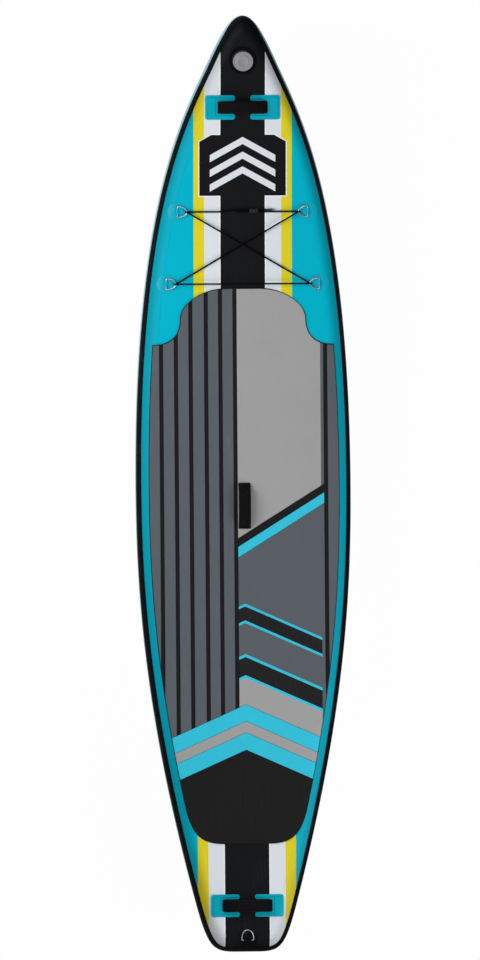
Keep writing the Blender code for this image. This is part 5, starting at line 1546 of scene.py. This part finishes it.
    def sleeve(self) -> None:
        """The padded sleeve, with a row of stitches on each sewn edge."""
        end = self.hinge - self.setback
        bm = self.swept(np.linspace(-end, end, 73), self.sleeve_profile())
        self.puff(bm, end)
        sleeve = self.named("pad", bm, NEOPRENE)
        settle(sleeve, self.name, NEOPRENE, f"{self.name}_sleeve")
        lines = []
        for sign, face in ((-1, -1), (-1, 1), (1, -1), (1, 1)):
            line = []
            for place in np.linspace(self.stitch_margin - end, end - self.stitch_margin, 60):
                lift = math.hypot(1.0, self.slope_at(place)) * self.seam_height * self.sleeve_thick / 2
                x, y, z = self.world(place, self.height(place) + face * lift)
                side = sign * self.sleeve_wide / 2 * self.seam_share
                line.append((x + side, y, z) if self.run is Run.ALONG else (x, y + side, z))
            lines.append(line)
        sizes = {"spacing": self.stitch_spacing, "length": self.stitch_long, "thickness": self.stitch_thick}
        stitches = BEADS.grow(f"{self.name}_stitches", lines, False, THREAD, upright=False, **sizes)
        settle(stitches, self.name, THREAD)

    def puff(self, bm: BMesh, end: float) -> None:
        """Thins the pad at its two bound ends and gives it shallow waves."""
        axis = self.run.value
        for vert in bm.verts:
            place = vert.co[axis] - (0.0, self.y)[axis]
            near = max(0.0, 1 - (end - abs(place)) / self.bound)
            wave = 1 + self.wave * math.cos(place / end * self.waves * math.pi)
            self.thin(vert, place, (1 - self.bound_thin * near**2) * (wave if near < 1 else 1))

    def thin(self, vert: bmesh.types.BMVert, place: float, share: float) -> None:
        """Moves a point towards the webbing's line."""
        middle = self.height(place)
        vert.co.z = middle + (vert.co.z - middle) * share


@dataclass
class HandlePatches:
    """The two C-shaped welded patches of a handle that lies across the board."""

    name: str
    y: float
    outer: float
    deep: float
    arm: float
    inner: float = 0.026
    mouth: float = 0.085
    corner: float = 0.009
    step_in: float = 0.0075
    low: float = 0.0004
    thick: float = 0.0024
    raised: float = 0.0022
    bevel: float = 0.0009
    least: float = 0.002
    end_gap: float = 0.0005
    sunk: float = 0.2

    def plan(self, sign: int, shrink: float) -> list[Flat]:
        """One patch's plan, shrunk all round."""
        half = self.deep / 2 - shrink
        arm = self.deep / 2 - self.arm + shrink
        mouth = self.mouth + shrink
        inner, outer = self.inner + shrink, self.outer - shrink
        corners = [(inner, -half), (outer, -half), (outer, half), (inner, half), (inner, arm), (mouth, arm)]
        corners += [(mouth, -arm), (inner, -arm)]
        corner = max(self.least, self.corner - shrink / 2)
        small = min(corner, (half - arm) / 2 - self.end_gap)
        radii = [small, corner, corner, small, small, self.least, self.least, small]
        points = [(sign * x, self.y + y) for x, y in rounded(corners, radii)]
        return points if sign > 0 else points[::-1]

    def build(self) -> None:
        """Makes both patches, each with a raised inner layer."""
        sunk = self.thick * self.sunk
        for sign, side in ((1, "starboard"), (-1, "port")):
            lower = patch(self.plan(sign, 0.0), self.low, self.thick, self.bevel)
            low, thick = self.low + self.thick - sunk, self.raised + sunk
            upper = patch(self.plan(sign, self.step_in), low, thick, self.bevel)
            node = f"{self.name}_patch_{side}"
            fitted(f"{self.name}_plate_{side}", merged(lower, upper), PATCH_SHEET, "board", node)


@dataclass
class RingMount:
    """A D-ring on its patch, held by a welded strap."""

    name: str
    y: float
    long: float
    reach: float
    wire: float = 0.004
    patch_low: float = 0.0004
    patch_thick: float = 0.0015
    running: float = 0.0005
    strap_wide: float = 0.020
    strap_wall: float = 0.0018
    bend: float = 0.004
    bow_power: float = 0.85
    tab_thick: float = 0.0012
    tab_gap: float = 0.001
    foot_share: float = 0.7

    @property
    def bar_height(self) -> float:
        """The height of the ring's bar above the deck."""
        return self.patch_low + self.patch_thick + self.running + self.wire / 2

    def ring(self, matrix: Matrix) -> None:
        """Makes the ring: its bar along X at the matrix's place and its bow along +Y."""
        half, bend = self.long / 2, self.bend
        bar = [(x, 0.0) for x in np.linspace(bend - half, half - bend, 14)]
        turn = np.linspace(0.0, math.pi, 60)
        bow = [(half * math.cos(a), self.reach * math.sin(a) ** self.bow_power) for a in turn]
        bow = [p for p in bow if p[1] > bend]
        first = quadratic((bar[-1], (half, 0.0), bow[0]), 7)[1:-1]
        second = quadratic((bow[-1], (-half, 0.0), bar[0]), 7)[1:-1]
        path = [tuple(matrix @ Vector((x, y, 0.0))) for x, y in (*bar, *first, *bow, *second)]
        ring = WIRE.grow(self.name + "_wire", [path], True, STEEL, radius=self.wire / 2, sides=18)
        settle(ring, self.name, STEEL, self.name)

    def strap(self, matrix: Matrix, ahead: float, sink: float = 0.0) -> BMesh:
        """The strap over the bar: its bore along X at the matrix's place and its tab along +Y."""
        bore = self.wire / 2 + self.running
        outer = bore + self.strap_wall
        foot = -self.bar_height + self.patch_low + self.patch_thick * self.foot_share - sink
        floor = foot + self.tab_thick + sink
        outline = [(ahead, foot), (ahead, floor), (outer + self.tab_gap, floor), *arc(outer, 0, 180, 17)]
        outline += [(-outer, foot), (-bore, foot), *arc(bore, 180, 0, 17), (bore, foot)]
        half = self.strap_wide / 2
        bm = skin([[(x, y, z) for y, z in outline] for x in (-half, half)])
        bm.transform(matrix)
        return bm


@dataclass
class LacingRing(RingMount):
    """A D-ring of the deck lacing, with its bow inboard."""

    side: int = 1
    bow: float = 0.191
    bow_height: float = 0.0095
    patch_radius: float = 0.033
    upper_share: float = 0.72
    overlap: float = 1.2
    long: float = 0.036
    reach: float = 0.03245
    tab: float = 0.016

    @property
    def bar_x(self) -> float:
        """The bar's place across the board."""
        rise = self.bow_height - self.bar_height
        return self.side * (self.bow + math.sqrt(self.reach**2 - rise**2))

    def build(self) -> None:
        """Makes the ring and its round patch of two layers."""
        tilt = math.asin((self.bow_height - self.bar_height) / self.reach)
        spin = Matrix.Rotation(self.side * math.pi / 2, 4, "Z")
        seat = HULL.seat(self.bar_x, self.y, self.bar_height) @ spin
        self.ring(seat @ Matrix.Rotation(tilt, 4, "X"))
        half = self.patch_thick / 2
        layers = ((1.0, self.patch_low, half * self.overlap), (self.upper_share, self.patch_low + half, half))
        lower, upper = (
            patch(circle(self.patch_radius * share, (self.bar_x, self.y)), low, thick)
            for share, low, thick in layers
        )
        mount = merged(lower, upper, self.strap(seat, self.tab))
        fitted(f"{self.name}_mount", mount, RING_SHEET, "board", f"{self.name}_patch")


@dataclass
class LeashPoint(RingMount):
    """The tail ring for an ankle leash, on a black patch that follows the rounded tail."""

    strap_wide: float = 0.028
    long: float = 0.041
    reach: float = 0.037
    bar_z: float = 0.37867
    tilt: float = math.radians(17.36)
    patch_wide: float = 0.064
    patch_deep: float = 0.040
    corner: float = 0.008
    tab: float = 0.013
    sink: float = 0.0008
    strap_tilt: float = 0.8

    def build(self) -> None:
        """Makes the ring, its patch and its strap."""
        shift = Matrix.Translation((0.0, self.y, self.bar_z))
        self.ring(shift @ Matrix.Rotation(self.tilt, 4, "X"))
        half, low, high = self.patch_wide / 2, self.y - self.patch_deep / 2, self.y + self.patch_deep / 2
        corners = [(-half, low), (half, low), (half, high), (-half, high)]
        base = patch(rounded(corners, [self.corner] * 4), self.patch_low, self.patch_thick)
        strap = self.strap(shift @ Matrix.Rotation(self.tilt * self.strap_tilt, 4, "X"), self.tab, self.sink)
        fitted("leash_ring_mount", merged(base, strap), BLACK_TAPE, "board", "leash_ring_patch")


@dataclass
class DeckLacing:
    """The bungee through the four rings, and the cord lock that joins its ends."""

    front: LacingRing
    rear: LacingRing
    cord: float = 0.0056
    gap: float = 0.0004
    low_crossing: float = 0.0045
    high_crossing: float = 0.0115
    line_height: float = 0.0051
    strands: float = 0.0062
    tip: float = 0.106
    short_end: float = -0.022
    lock_x: float = 0.038
    lead: float = 0.060
    tail_lead: float = 0.045
    tail_drift: float = 0.001
    clip: Numbers = (-0.0220, -0.0045, 0.0033)
    clip_tip: Numbers = (-0.0045, 0.0008, 0.0031)
    clip_edge: float = 0.0006
    step: float = 0.012
    blend_gaps: Flat = (0.080, 0.006)
    lock_long: float = 0.030
    lock_wide: float = 0.015
    lock_tall: float = 0.013
    lock_lift: float = 0.0005
    lock_bevel: float = 0.0026
    button: float = 0.009
    well_deep: float = 0.0104
    rib: float = 0.0008
    rib_pitch: float = 0.0032
    rib_long: float = 0.0085

    def bow_turn(self, ring: LacingRing, side: int, rising: bool) -> list[Place]:
        """The half turn round a ring's bow, from below it to above it when rising."""
        radius = ring.wire / 2 + self.gap + self.cord / 2
        turn = arc(radius, -90, 90, 15)[:: 1 if rising else -1]
        return [(side * (ring.bow + out), ring.y, ring.bow_height + up) for out, up in turn]

    def build(self) -> None:
        """Makes the four stretches of cord, each held by one ring, and the cord lock."""
        front, rear = self.front.y, self.rear.y
        share = self.front.bow / (self.front.bow + self.rear.bow)
        cross = front + (rear - front) * share
        beside = front + self.strands
        back = self.rear.bow_height + self.rear.wire / 2 + self.gap + self.cord / 2
        line = self.line_height
        start = [(x, front, line) for x in (self.short_end, self.lock_x, self.lock_x + self.lead)]
        end = [(self.short_end - self.lead, front, line)]
        end += [(x, beside, line) for x in (self.short_end, self.lock_x + self.tail_lead)]
        end.append((self.tip, beside + self.tail_drift, self.cord / 2 + 2 * self.gap))
        low, high = ((0.0, cross, z) for z in (self.low_crossing, self.high_crossing))
        rear_line = (0.0, rear, back)
        routes = {
            "front_ring_starboard": (start + self.bow_turn(self.front, 1, True) + [low], 1, self.front),
            "rear_ring_port": ([low] + self.bow_turn(self.rear, -1, True) + [rear_line], -1, self.rear),
            "rear_ring_starboard": ([rear_line] + self.bow_turn(self.rear, 1, False) + [high], 1, self.rear),
            "front_ring_port": ([high] + self.bow_turn(self.front, -1, False) + end, -1, self.front),
        }
        total = 0.0
        for body, (route, side, ring) in routes.items():
            path = [HULL.above(*point) for point in self.stepped(route)]
            total += sum(math.dist(a, b) for a, b in zip(path, path[1:]))
            piece = WIRE.grow(f"bungee_{body}", [path], False, BUNGEE, radius=self.cord / 2, sides=12)
            away, reach = (HULL.above(side * (ring.bow - gap), ring.y, 0.0) for gap in self.blend_gaps)
            stretch(piece, body, away, reach, BUNGEE, "bungee_cord")
        log.info("bungee length %.3f m", total)
        self.end_clip(HULL.above(*end[-2]), HULL.above(*end[-1]))
        self.lock()

    def end_clip(self, before: Place, tip: Place) -> None:
        """The moulded clip on the cord's loose end, and its paler tip."""
        aim = Vector(tip) - Vector(before)
        turn = Vector((0, 0, 1)).rotation_difference(aim).to_matrix().to_4x4()
        seat = Matrix.Translation(tip) @ turn
        edge = self.clip_edge
        pieces = (("clip", self.clip, NYLON_BLACK), ("tip", self.clip_tip, NYLON_SILVER))
        for name, (low, high, r), finish in pieces:
            side = [(r - edge, low), (r, low + edge), (r, high - edge), (r - edge, high)]
            bm = turned([(0.0, low), *side, (0.0, high)], 24)
            bm.transform(seat)
            fitted(f"bungee_{name}", bm, replace(finish, slot=Slot.BUNGEE), "board")

    def stepped(self, points: list[Place]) -> list[Place]:
        """The same line with more points on its long straight runs."""
        done = [points[0]]
        for before, after in zip(points, points[1:]):
            parts = max(1, math.ceil(math.dist(before, after) / self.step))
            for k in range(1, parts + 1):
                done.append(tuple(a + (b - a) * k / parts for a, b in zip(before, after)))
        return done

    def lock(self) -> None:
        """The cord lock's body, with two bores, a well for its button and grip ribs on both sides."""
        top = self.lock_lift + self.lock_tall
        middle = (0.0, 0.0, (self.lock_lift + top) / 2)
        bm = block((self.lock_long, self.lock_wide, self.lock_tall), middle, self.lock_bevel, 4)
        bore, well, long = self.cord / 2 + self.gap, self.button + 2 * self.gap, 2 * self.lock_long
        strands = (-self.strands / 2, self.strands / 2)
        bores = [rod(bore, (0, strand, self.line_height), (1, 0, 0), long) for strand in strands]
        feet = [
            (k * self.rib_pitch, side * self.lock_wide / 2, middle[2])
            for k in range(-3, 4)
            for side in (-1, 1)
        ]
        ribs = [rod(self.rib, foot, (0, 0, 1), self.rib_long, 10) for foot in feet]
        bm = drilled(bm, *bores, block((well, well, self.well_deep), (0, 0, top)), *ribs)
        seat = HULL.seat(self.lock_x, self.front.y + self.strands / 2)
        bm.transform(seat)
        fitted("cord_lock_shell", bm, NYLON_GREY, "cord_lock", "cord_lock_body")


@dataclass
class InflationValve:
    """What shows of the inflation valve: its patch and its cap."""

    y: float = 1.445
    patch_radius: float = 0.047
    patch_low: float = 0.0004
    patch_thick: float = 0.0010
    cap_radius: float = 0.034
    cap_under: float = 0.0152
    cap_thick: float = 0.003
    skirt_low: float = 0.0052
    skirt_inner: float = 0.0238
    skirt_wall: float = 0.003
    ribs: int = 60
    rib_thick: float = 0.0011
    rib_share: float = 0.7
    rib_height: float = 0.42
    corner: float = 0.0004
    rim_side: float = 0.0012
    rim_top: float = 0.0030
    sunk: float = 0.0006
    mark: Flat = (0.0178, 0.0200)
    mark_lift: float = 0.0004
    mark_slant: float = 0.0006

    def build(self) -> None:
        """Makes the patch and the cap."""
        plate = patch(circle(self.patch_radius, (0.0, self.y), 96), self.patch_low, self.patch_thick)
        fitted("valve_plate", plate, BLACK_TAPE, "board", "valve_patch")
        under, low, top = self.cap_under, self.skirt_low, self.cap_under + self.cap_thick
        inner, outer = self.skirt_inner, self.skirt_inner + self.skirt_wall
        r, corner = self.cap_radius, self.corner
        skirt = [(0.0, under), (inner, under), (inner, low), (outer, low), (outer, under)]
        rim = [(r - corner, under), (r, under + corner), (r, top - self.rim_side), (r - corner, top - corner)]
        face = top - self.sunk
        rim += [(r - self.rim_side, top), (r - self.rim_top, top), (r - self.rim_top - self.sunk, face)]
        (low, high), slant, lifted = self.mark, self.mark_slant, face + self.mark_lift
        mark = [(high, face), (high - slant, lifted), (low + slant, lifted), (low, face)]
        cap = turned([*skirt, *rim, *mark, (0.0, face)], 96)
        seat = HULL.seat(0.0, self.y)
        cap.transform(seat)
        fitted("valve_lid", cap, NYLON_SILVER, "valve_cap", "valve_cap")
        ring = [(x, y, under + self.cap_thick * self.rib_height) for x, y in circle(r, (0.0, 0.0), 180)]
        sizes = {"length": self.cap_thick * self.rib_share, "thickness": self.rib_thick, "upright": True}
        spacing = 2 * math.pi * r / self.ribs
        ribs = BEADS.grow("valve_lid_ribs", [ring], True, NYLON_SILVER, spacing=spacing, **sizes)
        ribs.data.transform(seat)
        settle(ribs, "valve_cap", NYLON_SILVER)


@dataclass
class CentreFin:
    """The slide-in fin, as a smooth foil with its tab."""

    y: float = -1.280
    mouth: float = 0.200
    gap: float = 0.0004
    base_long: float = 0.168
    tip_long: float = 0.050
    rake: float = 0.105
    thick: float = 0.0085
    tab_long: float = 0.140
    tab_deep: float = 0.019
    tab_wide: float = 0.0088
    tab_sunk: float = 0.002
    tab_bevel: float = 0.0006
    tongue_long: float = 0.018
    tongue_thick: float = 0.004
    screw_back: float = 0.079
    screw_radius: float = 0.0025
    pin_radius: float = 0.0026
    pin_back: float = 0.014
    pin_height: float = 0.0109
    step_size: Flat = (0.0124, 0.012)
    least_share: float = 0.35
    lean: float = 0.28
    thinning: float = 0.55
    round_share: float = 0.70
    round_power: float = 2.6
    rake_power: float = 1.35
    tongue_sunk: float = 0.001
    step_back: float = 0.012
    through: float = 0.05
    foil_power: float = 1.8
    foil_places: Numbers = (0.0, 0.01, 0.04, 0.09, 0.15, 0.25, 0.35, 0.7, 1.0)
    foil_shares: Numbers = (0.0, 0.28, 0.55, 0.75, 0.88, 0.97, 1.0, 0.6, 0.12)

    def foil(self, share: float) -> list[Place]:
        """One level section of the fin, from its base at 0 to its tip at 1."""
        least = self.tip_long * self.least_share
        curve = math.sqrt(max(0.0, 1 - share**self.round_power))
        fullness = (1 - self.round_share) * (1 - share) + self.round_share * curve
        chord = least + (self.base_long - least) * fullness
        lead = self.base_long / 2 - self.rake * share**self.rake_power - (self.base_long - chord) * self.lean
        thick = self.thick * (1 - self.thinning * share)
        shares = np.linspace(0.0, 1.0, 22) ** self.foil_power
        known = np.interp(shares, self.foil_places, self.foil_shares)
        z = (self.mouth - self.gap) * (1 - share)
        right = [(thick / 2 * t, self.y + lead - chord * s, z) for s, t in zip(shares, known)]
        return right + [(-x, y, z) for x, y, _ in right[:0:-1]]

    def build(self) -> None:
        """Makes the fin."""
        levels = np.sin(np.linspace(0.0, math.pi / 2, 34))
        bm = skin([self.foil(float(s)) for s in levels])
        low, top = self.mouth - self.tab_sunk, self.mouth + self.tab_deep
        tab = block((self.tab_wide, self.tab_long, top - low), (0, self.y, (low + top) / 2), self.tab_bevel)
        tongue_y = self.y + self.tab_long / 2 + self.tongue_long / 2 - self.tongue_sunk
        tongue_z = self.mouth + self.tongue_thick / 2 + self.gap
        tongue = block((self.tab_wide, self.tongue_long, self.tongue_thick), (0, tongue_y, tongue_z))
        for added in (tab, tongue):
            bm = combined(bm, added, "UNION")
        screw_y = self.y + self.screw_back
        wide, deep = self.step_size
        rear, front = screw_y - self.step_back, self.y + self.base_long
        step_middle = (0, (rear + front) / 2, self.mouth + self.gap / 2 - deep / 2)
        step = block((wide, front - rear, deep), step_middle)
        screw = rod(self.screw_radius, (0, screw_y, self.mouth), (0, 0, 1), self.through)
        pin_y = self.y - self.tab_long / 2 + self.pin_back
        pin = rod(self.pin_radius, (0, pin_y, self.mouth + self.pin_height), (1, 0, 0), self.through)
        bm = drilled(bm, step, screw, pin)
        fitted("fin_blade", bm, FIN_PLASTIC, "fin", "fin")


@dataclass
class Studio:
    """The white floor, two soft lamps and the camera above the board."""

    distance: float = 40.0
    tilt: float = math.radians(3.0)
    roll: float = math.radians(-0.444)
    target: Place = (-0.0154, 0.0151, 0.40)
    frame_height: float = 3.2800
    sensor: float = 36.0
    sight: float = 100.0
    world_level: float = 0.25
    floor_z: float = -0.002
    floor_half: float = 40.0
    shadow_reach: float = 1.6
    shadow_share: float = 0.03
    dark_side: float = 0.2
    dark_span: Flat = (0.15, 0.6)
    floor_mirrored: float = 0.35
    port_span: Flat = (-0.1, 0.1)
    nose_span: Flat = (0.0, 0.8)
    lamps: tuple[tuple[str, Place, float, float], ...] = (
        ("nose_light", (-2.0, 0.95, 2.6), 0.4, 70.0),
        ("tail_light", (2.6, -2.2, 2.6), -0.6, 87.0),
    )
    lamp_size: float = 2.4
    white: Colour = (1.0, 1.0, 1.0)
    floor_colour: Colour = (0.9, 0.9, 0.9)
    deck_height: float = 0.38

    def build(self) -> None:
        """Makes the whole set."""
        self.world()
        self.floor()
        for lamp in self.lamps:
            self.lamp(*lamp)
        self.camera()
        bpy.context.scene.view_settings.view_transform = "Standard"

    def seen_white(self, wires: Wires) -> NodeSocket:
        """One for rays that show the background: straight, mirrored or through glass."""
        path = wires.add("ShaderNodeLightPath")
        mirrored = wires.math("MAXIMUM", path.outputs["Is Glossy Ray"], path.outputs["Is Transmission Ray"])
        return wires.math("MAXIMUM", path.outputs["Is Camera Ray"], mirrored)

    def white_to_camera(self, wires: Wires, level: NodeSocket) -> NodeSocket:
        """A level that the camera sees as plain white, and other rays as it is."""
        return wires.math("MAXIMUM", wires.add("ShaderNodeLightPath").outputs["Is Camera Ray"], level)

    def world(self) -> None:
        """A surround that is plain white to the camera, and darker to starboard in reflections."""
        world = bpy.data.worlds.new("surround")
        bpy.context.scene.world = world
        wires = Wires.emptied(world)
        way = wires.split(wires.add("ShaderNodeTexCoord").outputs["Generated"])[0]
        shown = self.white_to_camera(wires, wires.span(way, *self.dark_span, 1.0, self.dark_side))
        plain, white = (
            wires.first("ShaderNodeBackground", {"Color": rgba(self.white), "Strength": level})
            for level in (self.world_level, shown)
        )
        mixed = wires.first("ShaderNodeMixShader", {0: self.seen_white(wires), 1: plain, 2: white})
        wires.add("ShaderNodeOutputWorld", {0: mixed})

    def floor(self) -> None:
        """A pale floor that shows white where no shadow falls."""
        bm = bmesh.new()
        bmesh.ops.create_grid(bm, x_segments=8, y_segments=8, size=self.floor_half)
        bmesh.ops.translate(bm, vec=(0, 0, self.floor_z), verts=bm.verts)
        floor = as_object("floor", bm)
        made = bpy.data.materials.new("studio_floor")
        wires = Wires.emptied(made)
        lit = wires.first("ShaderNodeBsdfDiffuse", {"Color": rgba(self.floor_colour)})
        x, y, _ = wires.split(wires.object_place())
        port = wires.span(x, *self.port_span, 1.0, self.floor_mirrored)
        mirrored = wires.product(port, wires.span(y, *self.nose_span, self.floor_mirrored, 1.0))
        glow = wires.first("ShaderNodeEmission", {"Strength": self.white_to_camera(wires, mirrored)})
        place = wires.object_place()
        reach = wires.add("ShaderNodeVectorMath", {0: place}, operation="LENGTH").outputs["Value"]
        white = wires.span(reach, self.shadow_reach, 2 * self.shadow_reach, 1 - self.shadow_share, 1.0)
        share = wires.product(self.seen_white(wires), white)
        mixed = wires.first("ShaderNodeMixShader", {0: share, 1: lit, 2: glow})
        wires.add("ShaderNodeOutputMaterial", {0: mixed})
        floor.data.materials.append(made)

    def lamp(self, name: str, place: Place, aim_y: float, power: float) -> None:
        """A soft square lamp that points at the board's middle line."""
        light = bpy.data.lights.new(name, "AREA")
        light.size = self.lamp_size
        light.energy = power
        thing = linked(name, light)
        thing.location = place
        aim = Vector((0.0, aim_y, self.deck_height)) - Vector(place)
        thing.rotation_euler = aim.to_track_quat("-Z", "Y").to_euler()

    def camera(self) -> None:
        """A long lens above the board, a little to port."""
        data = bpy.data.cameras.new("camera")
        data.type = "PERSP"
        data.sensor_fit = "VERTICAL"
        data.sensor_height = self.sensor
        data.lens = self.sensor * self.distance / self.frame_height
        data.clip_end = self.sight
        camera = linked("camera", data)
        back = Vector((-math.sin(self.tilt), 0.0, math.cos(self.tilt)))
        right = Vector((0.0, 1.0, 0.0)).cross(back).normalized()
        up = back.cross(right)
        axes = Matrix((right, up, back)).transposed().to_4x4()
        place = Vector(self.target) + back * self.distance
        camera.matrix_world = Matrix.Translation(place) @ axes @ Matrix.Rotation(self.roll, 4, "Z")
        bpy.context.scene.camera = camera


END_HANDLES = {"front_handle": (0.314, 0.128, 0.083, 0.020), "tail_handle": (3.040, 0.124, 0.077, 0.017)}
END_SPAN = 0.084
CENTRE_BACK = 1.673
CENTRE_SPAN = 0.077
PAD_TOP = 0.0058
LACING_ROWS = {"front": (0.668, 0.191), "rear": (0.914, 0.230)}
LEASH_BACK = 3.158


def carry_over() -> None:
    """Gives the CAD nodes that stay their finishes."""
    for name, finish in CARRIED_OVER.items():
        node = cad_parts[name]
        node.data.materials.clear()
        node.data.materials.append(finish.material())
        log.info("%s: %s", name, finish.name)


def main() -> None:
    """Builds the studio and dresses the board."""
    logging.basicConfig(level=logging.INFO, format="%(message)s")
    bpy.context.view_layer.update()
    Studio().build()
    carry_over()
    Hull().build()
    DeckPad().build()
    for name, (back, *sizes) in END_HANDLES.items():
        HandlePatches(name, HULL.station(back), *sizes).build()
        CarryHandle(name, HULL.station(back), END_SPAN, HULL.half, Run.ACROSS).build()
    pad_top = HULL.half + PAD_TOP
    CarryHandle("centre_handle", HULL.station(CENTRE_BACK), CENTRE_SPAN, pad_top, Run.ALONG).build()
    rings = {}
    for row, (back, bow) in LACING_ROWS.items():
        for side, label in ((1, "starboard"), (-1, "port")):
            rings[row] = LacingRing(f"{row}_ring_{label}", HULL.station(back), side=side, bow=bow)
            rings[row].build()
    DeckLacing(rings["front"], rings["rear"]).build()
    LeashPoint("leash_ring", HULL.station(LEASH_BACK)).build()
    InflationValve().build()
    CentreFin().build()


if __name__ == "__main__":
    main()
